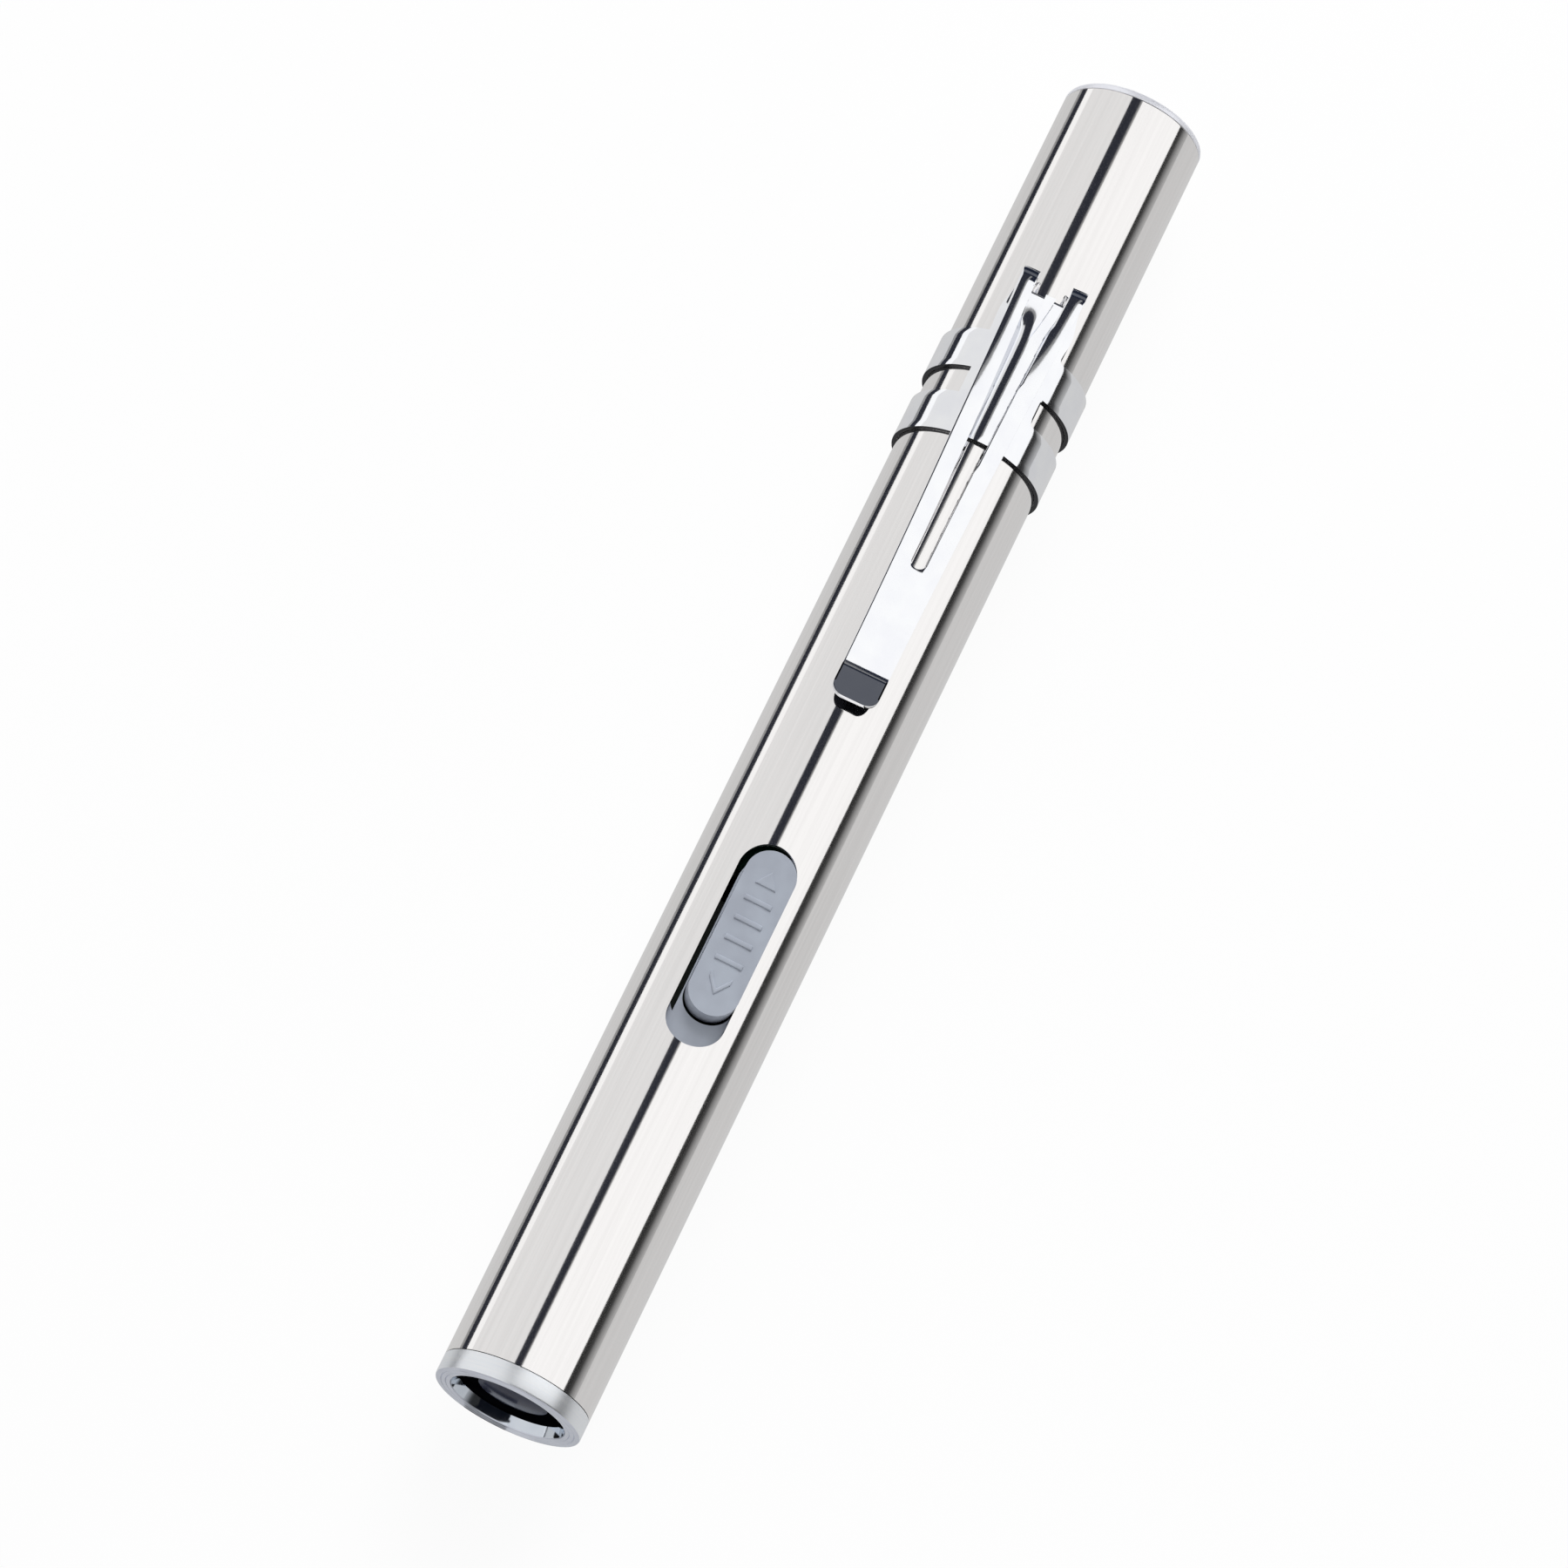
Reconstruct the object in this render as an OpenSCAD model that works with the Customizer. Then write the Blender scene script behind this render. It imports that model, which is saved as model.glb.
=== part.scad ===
// Pocket penlight: a steel tube with a slide button, a pull-off cap with a spring clip,
// and a charging plug under the cap.
// The origin is the centre of the lens-end face. +X runs to the tail, +Z is the button's side.

/* [Tube] */
// Outside diameter of the barrel and of the cap
tube_od = 14; // [13.8:0.1:15]
// Wall of the drawn tube
tube_wall = 0.5; // [0.4:0.05:0.55]

/* [Bezel] */
// Width of the ring that shows in front of the barrel
bezel_w = 1.95; // [1.6:0.05:2.4]
// Length of its spigot inside the barrel
bezel_spigot_l = 4.3; // [3.6:0.1:5]
// Wall of the spigot
bezel_wall = 0.6; // [0.5:0.05:0.75]
// Radius of the outer front edge
bezel_round = 0.35; // [0.1:0.05:0.5]
// Bevel of the opening's edge
bezel_bevel = 0.3; // [0.1:0.05:0.4]
// How far the lens holder stands behind the front face
lens_recess = 1.45; // [1:0.05:2]

/* [Optics] */
// Width of the holder's lip round its window
window_lip = 1.6; // [1.3:0.05:2]
// Thickness of the holder's front wall
holder_front_t = 0.6; // [0.4:0.05:0.8]
// Side wall of the lens holder
holder_wall = 0.8; // [0.5:0.05:1]
// Thickness of the lens flange
lens_t = 0.8; // [0.6:0.05:1.2]
// Height of the lens dome in the window
lens_dome_h = 0.45; // [0.2:0.05:0.6]
// Thickness of the gasket behind the lens
gasket_t = 0.5; // [0.3:0.05:0.8]
// Width of the gasket from its edge to its hole
gasket_w = 1.55; // [1.2:0.05:1.9]
// Depth of the reflector bowl
reflector_l = 5.6; // [4.5:0.1:6.5]
// Wall of the reflector
reflector_wall = 0.5; // [0.4:0.05:0.7]
// Side of the square diode
led_w = 2.8; // [2:0.1:3]
// Thickness of the diode's body
led_t = 0.7; // [0.5:0.05:0.9]
// Thickness of the diode's board
led_board_t = 1; // [0.8:0.1:1.6]
// Length of the heat sink
heat_sink_l = 5; // [4:0.1:6]

/* [Slide button] */
// Distance from the lens-end face to the slot
slot_x = 35.12; // [34:0.1:40]
// Length of the slot in the barrel
slot_l = 20.7; // [19:0.1:24]
// Width of the slot
slot_w = 5.5; // [5.2:0.1:6]
// Gap between the button and each end of the slot at its stops
button_end_gap = 0.35; // [0.2:0.05:0.6]
// Length of the button
button_l = 17.3; // [16:0.1:18]
// Gap between the button and each side of the slot
button_side_gap = 0.225; // [0.15:0.025:0.4]
// Distance from the button's lens end to the middle of its ribs
rib_mid = 8.43; // [8:0.01:8.9]
// How far the button stands proud of the tube
button_proud = 0.85; // [0.5:0.05:1.2]
// Radius of the button's top edge
button_round = 0.22; // [0.1:0.02:0.4]
// How far the middle of the button stands over its edge
button_crown = 0.12; // [0.05:0.01:0.3]
// Turn of the button about the tube's axis, taken up by its side gap
button_turn = 1.5; // [0:0.1:1.6]
// Thickness of the curved flange under the tube wall
flange_t = 0.65; // [0.5:0.05:0.8]
// How far the flange reaches past the slot at the button's stops
flange_reach = 0.6; // [0.4:0.1:1.2]
// Half of the angle that the flange spans
flange_half_angle = 42; // [36:1:48]
// Number of grip ribs
rib_n = 4; // [2:1:5]
// Distance from rib to rib
rib_pitch = 2.06; // [1.7:0.02:2.2]
// Width of a rib along the tube
rib_w = 0.36; // [0.25:0.01:0.5]
// Length of a rib across the tube
rib_l = 2.5; // [2:0.1:3]
// Height of the ribs and arrow marks
mark_h = 0.13; // [0.08:0.01:0.25]
// Length of an arrow mark
arrow_l = 1.6; // [1.2:0.1:2]
// Width of an arrow mark
arrow_w = 2.1; // [1.6:0.1:2.6]
// Distance from an end rib to its arrow mark
arrow_gap = 1.6; // [1.2:0.1:1.8]

/* [Electronics] */
// Thickness of the circuit board
board_t = 1; // [0.8:0.1:1.2]
// Distance from the board's long edges to the bore, across the tube
board_edge_gap = 0.8; // [0.6:0.05:1.1]
// Height of the board's top over the axis
board_top_z = 0.2; // [0:0.05:0.4]
// Width of the slide switch
switch_w = 3.6; // [3:0.1:4.2]
// How far the switch's lever stands out of the switch
lever_h = 2.35; // [2.2:0.05:2.6]
// Length of the slide switch
switch_l = 9.2; // [8.6:0.1:10]
// Width of its lever along the tube
lever_w = 1.5; // [1.2:0.1:1.8]
// Diameter of the insulated leads
lead_d = 0.7; // [0.6:0.05:0.8]

/* [Cell] */
// Length of the cell with its cap
cell_l = 44; // [42:0.1:46]
// Thickness of the shrink sleeve
sleeve_t = 0.09; // [0.06:0.01:0.1]
// Thickness of the nickel tabs
tab_t = 0.15; // [0.1:0.01:0.2]

/* [Chassis] */
// Thickness of the tray's front wall
tray_front_t = 2; // [1.5:0.1:2.5]
// Width of each hoop round the cell
hoop_w = 2.4; // [1.6:0.1:3]
// Wall of the tray and of the hoops, which leaves a bore for a 10 mm cell
tray_wall = 1.26; // [1.2:0.01:1.46]

/* [Plug] */
// Length of the plug base inside the barrel
plug_seat_l = 4; // [3.5:0.1:6]
// Length of the neck that the cap slides over
neck_l = 6; // [5.8:0.1:8]
// Distance from the barrel's end to the middle of the rubber ring
oring_back = 2; // [1.6:0.1:2.2]
// Thickness of the rubber ring
oring_d = 1.02; // [0.9:0.02:1.1]
// Wall of the neck beside the plug's shell, which leaves room for a 12 mm plug
usb_side_wall = 0.42; // [0.42:0.01:0.52]
// Height of the plug's shell
usb_h = 4.5; // [4.3:0.05:4.5]
// Sheet of the shell
usb_sheet = 0.3; // [0.25:0.05:0.35]
// How far the shell stands out of the neck
usb_l = 12; // [11:0.1:13]
// Depth of the shell's seat in the neck
usb_seat_l = 2.6; // [2:0.1:2.8]
// Thickness of the plug's tongue
tongue_t = 1.85; // [1.7:0.05:1.9]

/* [Cap] */
// Length of the cap tube
cap_l = 38.88; // [34:0.02:44]
// Seam between the barrel and the cap
seam_gap = 0.1; // [0.05:0.05:0.3]
// Thickness of the tail plug's flange
tail_flange_t = 0.75; // [0.5:0.05:1.2]
// Length of its spigot in the cap
tail_spigot_l = 4; // [3:0.1:5]
// Wall of the spigot
tail_wall = 1; // [0.8:0.1:1.4]
// Radius of the flange's outer edge
tail_round = 0.3; // [0.1:0.05:0.35]

/* [Clip] */
// Thickness of the clip's sheet
clip_t = 0.4; // [0.3:0.02:0.46]
// Width of each ring along the tube
ring_w = 4.2; // [3.5:0.1:4.8]
// Distance from the first ring's edge to the second's
ring_pitch = 7.03; // [6:0.01:7.6]
// How far the first ring covers the barrel past the seam
ring_lap = 0.3; // [0.2:0.05:1]
// Half of the angle left open between the rings' ends
ring_open_half_angle = 10; // [6:1:14]
// Width of the spine between the rings
spine_w = 7.1; // [6.6:0.1:7.6]
// Distance from the second ring to the centre of the fold
fold_run = 5.97; // [5:0.01:7]
// Inner radius of the fold
fold_r = 0.5; // [0.4:0.05:0.8]
// Distance along the tube from the fold to the bend that rests over the barrel
arm_l = 42.5; // [38:0.1:44]
// Width of the arm at the fold
arm_root_w = 6.45; // [6:0.05:6.8]
// Width of the arm at the bend
arm_tip_w = 4.5; // [4:0.05:5]
// Length of the flared tip along the tube
flare_l = 3.6; // [3:0.1:4.5]
// Rise of the flared tip
flare_rise = 1.1; // [0.8:0.05:1.6]
// Radius of the tip's corners
tip_corner_r = 1.3; // [0.8:0.05:1.6]
// Width of the slit at the fold
slit_root_w = 3.35; // [3:0.05:3.6]
// Width of the slit at its round end
slit_end_w = 1.5; // [1.2:0.05:1.8]
// Length of the slit from the fold along the arm
slit_l = 31.5; // [26:0.1:34]
// How far the slit reaches into the spine from the fold
slit_spine_l = 1.02; // [0.8:0.01:2]

/* [Hidden] */

// Number of facets on large and small rounds
large_fn = 128;
small_fn = 48;
// How far a cutting shape runs past what it cuts
cut_over = 0.5;
// Clearances: a pressed or laid part, a part that slides, a part that lies loosely, a spring's rest
seat_gap = 0.05;
slide_gap = 0.08;
loose_gap = 0.15;
rest_gap = 0.08;
// Gap at which two pieces of the clip or of an O-ring face each other
hair_gap = 0.02;

// Radii of the tube
tube_r = tube_od / 2;
bore_r = tube_r - tube_wall;
seat_r = bore_r - seat_gap;

// Stations of the lens end
bezel_bore_r = seat_r - bezel_wall;
holder_r = bezel_bore_r - seat_gap;
holder_bore_r = holder_r - holder_wall;
window_r = holder_bore_r - window_lip;
gasket_r = holder_bore_r - seat_gap;
lens_x = lens_recess + holder_front_t;
gasket_x = lens_x + lens_t;
reflector_x = gasket_x + gasket_t;
led_board_x = reflector_x + reflector_l;
heat_sink_x = led_board_x + led_board_t;
chassis_x = heat_sink_x + heat_sink_l;
led_opening_r = led_w * sqrt(2) / 2 + seat_gap;
led_dome_r = 1.18;
fin_w = 0.6;
fin_n = 2;

// Slide button: its stations, levels and travel
button_w = slot_w - 2 * button_side_gap;
button_travel = slot_l - button_l - 2 * button_end_gap;
button_x = slot_x + slot_l - button_end_gap - button_l;
button_mid_x = button_x + button_l / 2;
button_top_z = tube_r + button_proud;
flange_r = bore_r - loose_gap;
flange_bore_r = flange_r - flange_t;
flange_x = slot_x - flange_reach;
flange_l = slot_l + button_travel + 2 * flange_reach;
crown_r = (pow(button_w / 2, 2) + pow(button_crown, 2)) / (2 * button_crown);
fork_wall = 0.7;
fork_depth = 1.2;

// Slide switch under the button
switch_x = button_mid_x - button_travel / 2 - switch_l / 2;
lever_top_z = flange_bore_r - loose_gap;
switch_top_z = lever_top_z - lever_h;
switch_h = switch_top_z - board_top_z;
lever_pocket_d = 0.8;

// Circuit board
board_x = chassis_x + tray_front_t + loose_gap;
board_w = 2 * (bore_r - board_edge_gap);
board_end_margin = 1.2;
board_end_x = switch_x + switch_l + board_end_margin;
board_l = board_end_x - board_x;
board_rail_w = 1.2;
led_wire_in = 2.5;
led_wire_y = board_w / 2 - led_wire_in;
led_wire_z = board_top_z + lead_d / 2;
led_wire_seat_l = 2.5;
led_wire_l = board_x + led_wire_seat_l - heat_sink_x;
charge_chip_side_gap = 1.25;
charge_chip_size = [4.9, 2 * (led_wire_y - charge_chip_side_gap), 1.5];
driver_chip_size = [2.9, 1.6, 1.1];
passive_size = [1.6, 0.8, 0.8];
passive_n = 4;
passive_pitch = 2.4;
chip_gap = 1.5;
chip_x = board_x + led_wire_seat_l + chip_gap;

// Cell and its tabs
board_cell_gap = 0.5;
cell_x = board_end_x + board_cell_gap;
cell_end_x = cell_x + cell_l;
tray_r = bore_r - seat_gap - seat_gap;
tray_bore_r = tray_r - tray_wall;
sleeve_r = tray_bore_r - seat_gap;
cell_r = sleeve_r - sleeve_t;
cell_cap_h = 0.8;
cell_cap_in = 2.4;
cell_cap_r = cell_r - cell_cap_in;
cell_groove_x = 3.3;
cell_groove_d = 0.5;
cell_play = 0.35;
tab_w = 3;
tab_foot_l = 1;

// Tray and plug base
plug_x = cell_end_x + tab_t + cell_play;
barrel_end_x = plug_x + plug_seat_l;
barrel_l = barrel_end_x - bezel_w;
hoop_n = 3;
lead_angles = [-66, 58, 80];
lead_path_r = sleeve_r + seat_gap + lead_d / 2;
bend_ball_d = lead_d + 2 * hair_gap;
lead_drop_l = 3;
lead_seat_l = 1.5;

// Neck, its ring and the plug
neck_r = bore_r - slide_gap;
neck_end_x = barrel_end_x + neck_l;
neck_chamfer = 0.1;
oring_x = barrel_end_x + oring_back;
oring_r = bore_r - hair_gap - oring_d / 2;
groove_play = 0.4;
groove_w = oring_d + groove_play;
groove_r = oring_r - oring_d / 2 - hair_gap / 2;
usb_w = 2 * (neck_r - usb_side_wall);
usb_corner_r = 0.62;
usb_x = neck_end_x - usb_seat_l;
usb_end_x = neck_end_x + usb_l;
usb_window = [2.5, 2];
usb_window_back = 5.2;
usb_window_in = 3.15;
usb_window_y = usb_w / 2 - usb_window_in;
tongue_end_gap = 0.4;
tongue_w = usb_w - 2 * usb_corner_r;
tongue_z = -usb_h / 2 + usb_sheet + seat_gap;
contact_t = 0.18;
contact_w = 1;
contact_root_l = 1;
contact_in = 1.88;
contact_outer_y = tongue_w / 2 - contact_in;
contact_inner_y = 1;
contact_ys = [-contact_outer_y, -contact_inner_y, contact_inner_y, contact_outer_y];
contact_setbacks = [1.2, 2.2, 2.2, 1.2];

// Cap
cap_x = barrel_end_x + seam_gap;
cap_end_x = cap_x + cap_l;
overall_l = cap_end_x + tail_flange_t;
tail_bore_r = seat_r - tail_wall;

// Clip
clip_r = tube_r + hair_gap * 2;
clip_outer_r = clip_r + clip_t;
ring_x = cap_x - seam_gap - ring_lap;
fold_x = ring_x + ring_pitch + ring_w + fold_run;
fold_outer_r = fold_r + clip_t;
fold_mid_r = fold_r + clip_t / 2;
fold_z = clip_r + fold_outer_r;
fold_end_x = fold_x + fold_outer_r;
fold_split_angle = 6;
bend_x = fold_x - arm_l;
bend_z = tube_r + rest_gap + clip_t / 2;
tip_x = bend_x - flare_l;
tip_z = bend_z + flare_rise;
slit_end_x = fold_x - slit_l + slit_end_w / 2;
taper_power = 1.6;
outline_steps = 12;

// Turns a profile of [radius, x] points about the tube's axis
module turned(points) {
    rotate([0, 90, 0])
        rotate_extrude($fn = large_fn)
            polygon(points);
}

// A round bar along the tube's axis
module bar_x(x, l, r, fn = large_fn) {
    translate([x, 0, 0])
        rotate([0, 90, 0])
            cylinder(h = l, r = r, $fn = fn);
}

// A tube along the axis
module pipe_x(x, l, r, bore) {
    difference() {
        bar_x(x, l, r);
        bar_x(x - cut_over, l + 2 * cut_over, bore);
    }
}

// A cross-section in Y and Z drawn out along X
module run_x(x, l) {
    translate([x, 0, 0])
        rotate([90, 0, 90])
            linear_extrude(l)
                children();
}

// A side view in X and Z drawn out to both sides of the middle plane
module run_y(w) {
    rotate([90, 0, 0])
        linear_extrude(w, center = true)
            children();
}

// A block centred in Y, from its low corner in X and Z
module block(x, z, size) {
    translate([x, -size[1] / 2, z])
        cube(size);
}

module stadium(l, w) {
    square([l - w, w], center = true);
    for (s = [-1, 1])
        translate([s * (l - w) / 2, 0])
            circle(d = w, $fn = small_fn);
}

module rounded_rect(w, h, r) {
    square([w - 2 * r, h], center = true);
    square([w, h - 2 * r], center = true);
    for (a = [-1, 1], b = [-1, 1])
        translate([a * (w / 2 - r), b * (h / 2 - r)])
            circle(r = r, $fn = small_fn);
}

// A wedge of the cross-section round the top, out to past the tube
module sector(half_angle) {
    reach = 2 * tube_od;
    polygon([[0, 0], reach * [sin(half_angle), cos(half_angle)], reach * [0, 2],
        reach * [-sin(half_angle), cos(half_angle)]]);
}

// A closed outline from the points of its half on the +Y side
function both_sides(half) = concat(half, [for (i = [len(half) - 1:-1:0]) [-half[i][0], half[i][1]]]);
function both_flanks(half) = concat(half, [for (i = [len(half) - 1:-1:0]) [half[i][0], -half[i][1]]]);

// Points of an arc about c, from angle a to angle b
function arc(c, r, a, b, n) = [for (i = [0:n]) c + r * [cos(a + (b - a) * i / n), sin(a + (b - a) * i / n)]];

module barrel_tube() {
    color("gainsboro")
        difference() {
            pipe_x(bezel_w, barrel_l, tube_r, bore_r);
            translate([slot_x + slot_l / 2, 0, 0])
                linear_extrude(tube_od)
                    stadium(slot_l, slot_w);
        }
}

module bezel_ring() {
    edge = arc([tube_r - bezel_round, bezel_round], bezel_round, 270, 360, 6);
    color("lightsteelblue")
        turned(concat(
            [[bezel_bore_r, bezel_bevel], [bezel_bore_r + bezel_bevel, 0]],
            edge,
            [[tube_r, bezel_w], [seat_r, bezel_w], [seat_r, bezel_w + bezel_spigot_l],
                [bezel_bore_r, bezel_w + bezel_spigot_l]]));
}

module lens_holder() {
    color("black")
        turned([[window_r, lens_recess], [holder_r, lens_recess], [holder_r, led_board_x],
            [holder_bore_r, led_board_x], [holder_bore_r, lens_x], [window_r, lens_x]]);
}

module lens() {
    r = window_r - seat_gap;
    dome_r = (pow(r, 2) + pow(lens_dome_h, 2)) / (2 * lens_dome_h);
    half = asin(r / dome_r);
    front = lens_x - lens_dome_h;
    dome = arc([0, front + dome_r], dome_r, -90, half - 90, 12);
    color("slategray")
        turned(concat(dome, [[holder_bore_r - seat_gap, lens_x], [holder_bore_r - seat_gap, gasket_x],
            [0, gasket_x]]));
}

module lens_gasket() {
    color("dimgray")
        turned([[gasket_r - gasket_w, gasket_x], [gasket_r, gasket_x],
            [gasket_r, reflector_x], [gasket_r - gasket_w, reflector_x]]);
}

// The bowl is a parabola between the gasket and the diode's opening
module reflector() {
    r0 = led_opening_r;
    r1 = holder_bore_r - seat_gap - reflector_wall;
    n = 12;
    bowl = [for (i = [0:n])
        let (r = r1 + (r0 - r1) * i / n)
        [r, reflector_x + reflector_l * (1 - (pow(r, 2) - pow(r0, 2)) / (pow(r1, 2) - pow(r0, 2)))]];
    back = [for (i = [n:-1:0]) [bowl[i][0] + reflector_wall, bowl[i][1]]];
    color("silver")
        turned(concat(bowl, back));
}

module led_emitter() {
    color("khaki") {
        translate([led_board_x - led_t / 2, 0, 0])
            cube([led_t, led_w, led_w], center = true);
        translate([led_board_x - led_t, 0, 0])
            intersection() {
                sphere(r = led_dome_r, $fn = small_fn);
                translate([-led_w, 0, 0])
                    cube(2 * led_w, center = true);
            }
    }
}

module led_board() {
    color("whitesmoke")
        bar_x(led_board_x, led_board_t, seat_r);
}

module led_wire_holes() {
    for (s = [-1, 1])
        translate([0, s * led_wire_y, led_wire_z])
            bar_x(heat_sink_x - cut_over, chassis_x + tray_front_t - heat_sink_x + 2 * cut_over,
                lead_d / 2 + loose_gap, small_fn);
}

module heat_sink() {
    color("silver")
        difference() {
            bar_x(heat_sink_x, heat_sink_l, seat_r);
            for (i = [1:fin_n])
                pipe_x(chassis_x - 2 * i * fin_w, fin_w, tube_r, seat_r - fin_w);
            led_wire_holes();
        }
}

module led_wires() {
    color("red")
        for (s = [-1, 1])
            translate([0, s * led_wire_y, led_wire_z])
                bar_x(heat_sink_x, led_wire_l, lead_d / 2, small_fn);
}

// Half tray with a front wall, rails under the board and hoops round the cell
module chassis() {
    tray_end_x = cell_end_x;
    hoop_x0 = flange_x + flange_l + button_travel;
    hoop_step = (tray_end_x - hoop_w - hoop_x0) / (hoop_n - 1);
    color("dimgray")
        difference() {
            union() {
                bar_x(chassis_x, tray_front_t, tray_r);
                difference() {
                    pipe_x(chassis_x, tray_end_x - chassis_x, tray_r, tray_bore_r);
                    block(chassis_x - cut_over, board_top_z - board_t,
                        [tray_end_x - chassis_x + 2 * cut_over, tube_od, tube_od]);
                }
                for (i = [0:hoop_n - 1])
                    pipe_x(hoop_x0 + i * hoop_step, hoop_w, tray_r, tray_bore_r);
                intersection() {
                    bar_x(chassis_x, board_end_x - chassis_x, tray_r - cut_over);
                    for (s = [-1, 1])
                        translate([0, s * (board_w - board_rail_w) / 2, 0])
                            block(chassis_x, -tube_r, [board_end_x - chassis_x, board_rail_w,
                                tube_r + board_top_z - board_t - seat_gap]);
                }
            }
            led_wire_holes();
            for (a = lead_angles)
                rotate([-a, 0, 0])
                    block(board_end_x, sleeve_r - cut_over,
                        [cell_l + board_cell_gap + cut_over, lead_d + 2 * loose_gap,
                            lead_d + cut_over + 2 * seat_gap]);
        }
}

module circuit_board() {
    color("darkgreen")
        block(board_x, board_top_z - board_t, [board_l, board_w, board_t]);
}

module charge_chip() {
    color("black")
        block(chip_x, board_top_z, charge_chip_size);
}

module driver_chip() {
    color("black")
        block(chip_x + charge_chip_size[0] + chip_gap, board_top_z, driver_chip_size);
}

module chip_passives() {
    color("tan")
        for (i = [0:passive_n - 1], s = [-1, 1])
            translate([0, s * led_wire_y, 0])
                block(chip_x + i * passive_pitch, board_top_z, passive_size);
}

module switch_body() {
    pocket_l = button_travel + lever_w + 2 * loose_gap;
    color("silver")
        difference() {
            block(switch_x, board_top_z, [switch_l, switch_w, switch_h]);
            block(switch_x + (switch_l - pocket_l) / 2, switch_top_z - lever_pocket_d,
                [pocket_l, lever_w + 2 * loose_gap, lever_pocket_d + cut_over]);
        }
}

module switch_lever() {
    z = switch_top_z - lever_pocket_d + seat_gap;
    color("black")
        block(button_mid_x - lever_w / 2, z, [lever_w, lever_w, lever_top_z - z]);
}

// The button's section: straight sides, rounded edges and a crowned top
function button_half() =
    let (edge_z = button_top_z - button_crown, c = [button_w / 2 - button_round, edge_z - button_round],
        top = button_top_z - crown_r, start = asin((button_w / 2 - button_round) / crown_r))
    concat([[0, flange_bore_r], [button_w / 2, flange_bore_r]],
        arc(c, button_round, 0, 90, 5),
        [for (i = [1:8]) let (a = start * (1 - i / 8)) [crown_r * sin(a), top + crown_r * cos(a)]]);

module button_marks() {
    mid = (rib_n - 1) / 2;
    for (i = [0:rib_n - 1])
        translate([(i - mid) * rib_pitch, 0])
            square([rib_w, rib_l], center = true);
    far = mid * rib_pitch + arrow_gap;
    translate([far, 0])
        polygon([[0, -arrow_w / 2], [arrow_l, 0], [0, arrow_w / 2]]);
    for (s = [-1, 1])
        translate([-far - arrow_l, 0])
            polygon([[0, 0], [rib_w, 0], [arrow_l + rib_w, s * arrow_w / 2], [arrow_l, s * arrow_w / 2]]);
}

module slide_button() {
    run = button_l - button_w;
    fork_gap_l = lever_w + 2 * loose_gap;
    fork_l = fork_gap_l + 2 * fork_wall;
    fork_z = lever_top_z - fork_depth;
    color("slategray") {
        rotate([button_turn, 0, 0]) {
            for (s = [-1, 1])
                translate([button_mid_x + s * run / 2, 0, 0])
                    rotate_extrude($fn = small_fn)
                        polygon(button_half());
            run_x(button_mid_x - run / 2, run)
                polygon(both_sides(button_half()));
            intersection() {
                pipe_x(flange_x, flange_l, flange_r, flange_bore_r);
                run_x(flange_x, flange_l)
                    sector(flange_half_angle);
            }
            intersection() {
                translate([button_x + rib_mid, 0, button_top_z - button_crown])
                    linear_extrude(button_crown + mark_h)
                        button_marks();
                translate([0, 0, button_top_z - crown_r])
                    bar_x(button_x, button_l, crown_r + mark_h);
            }
        }
        difference() {
            block(button_mid_x - fork_l / 2, fork_z,
                [fork_l, switch_w, flange_bore_r - fork_z + flange_t / 2]);
            block(button_mid_x - fork_gap_l / 2, fork_z - cut_over,
                [fork_gap_l, fork_gap_l, fork_depth + cut_over + seat_gap]);
        }
    }
}

module battery_cell() {
    neck = cell_cap_h;
    g = cell_groove_x;
    d = cell_groove_d;
    color("lightgray")
        translate([cell_x, 0, 0])
            turned([[0, 0], [cell_cap_r, 0], [cell_cap_r, neck], [cell_r - d, neck], [cell_r, neck + d],
                [cell_r, g - d], [cell_r - d, g], [cell_r, g + d], [cell_r, cell_l], [0, cell_l]]);
}

module cell_sleeve() {
    gap = hair_gap / 2;
    front = cell_x + cell_cap_h + cell_groove_d;
    color("seagreen")
        turned([[cell_r + gap, front], [sleeve_r, front], [sleeve_r, cell_end_x],
            [cell_r + gap, cell_end_x]]);
}

module cell_tabs() {
    color("silver") {
        block(cell_x - tab_t, board_top_z, [tab_t, tab_w, cell_cap_r]);
        block(board_end_x - tab_foot_l, board_top_z, [cell_x - board_end_x + tab_foot_l, tab_w, tab_t]);
        rotate([-lead_angles[1], 0, 0])
            block(cell_end_x, -tab_w / 2, [tab_t, tab_w, lead_path_r + tab_w / 2]);
    }
}

// Each lead runs along the cell, then bends down to the board
module power_leads() {
    bend_x = board_end_x - lead_d;
    color("firebrick")
        for (i = [0:len(lead_angles) - 1]) {
            drop = lead_path_r * cos(lead_angles[i]) - board_top_z - lead_d / 2 - hair_gap;
            end_x = i == 1 ? cell_end_x : plug_x + lead_seat_l;
            translate([bend_x, lead_path_r * sin(lead_angles[i]), lead_path_r * cos(lead_angles[i])]) {
                bar_x(0, end_x - bend_x, lead_d / 2, small_fn);
                sphere(d = bend_ball_d, $fn = small_fn);
                rotate([0, -90 - atan(drop / lead_drop_l), 0])
                    cylinder(h = norm([drop, lead_drop_l]), d = lead_d, $fn = small_fn);
            }
        }
}

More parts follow.
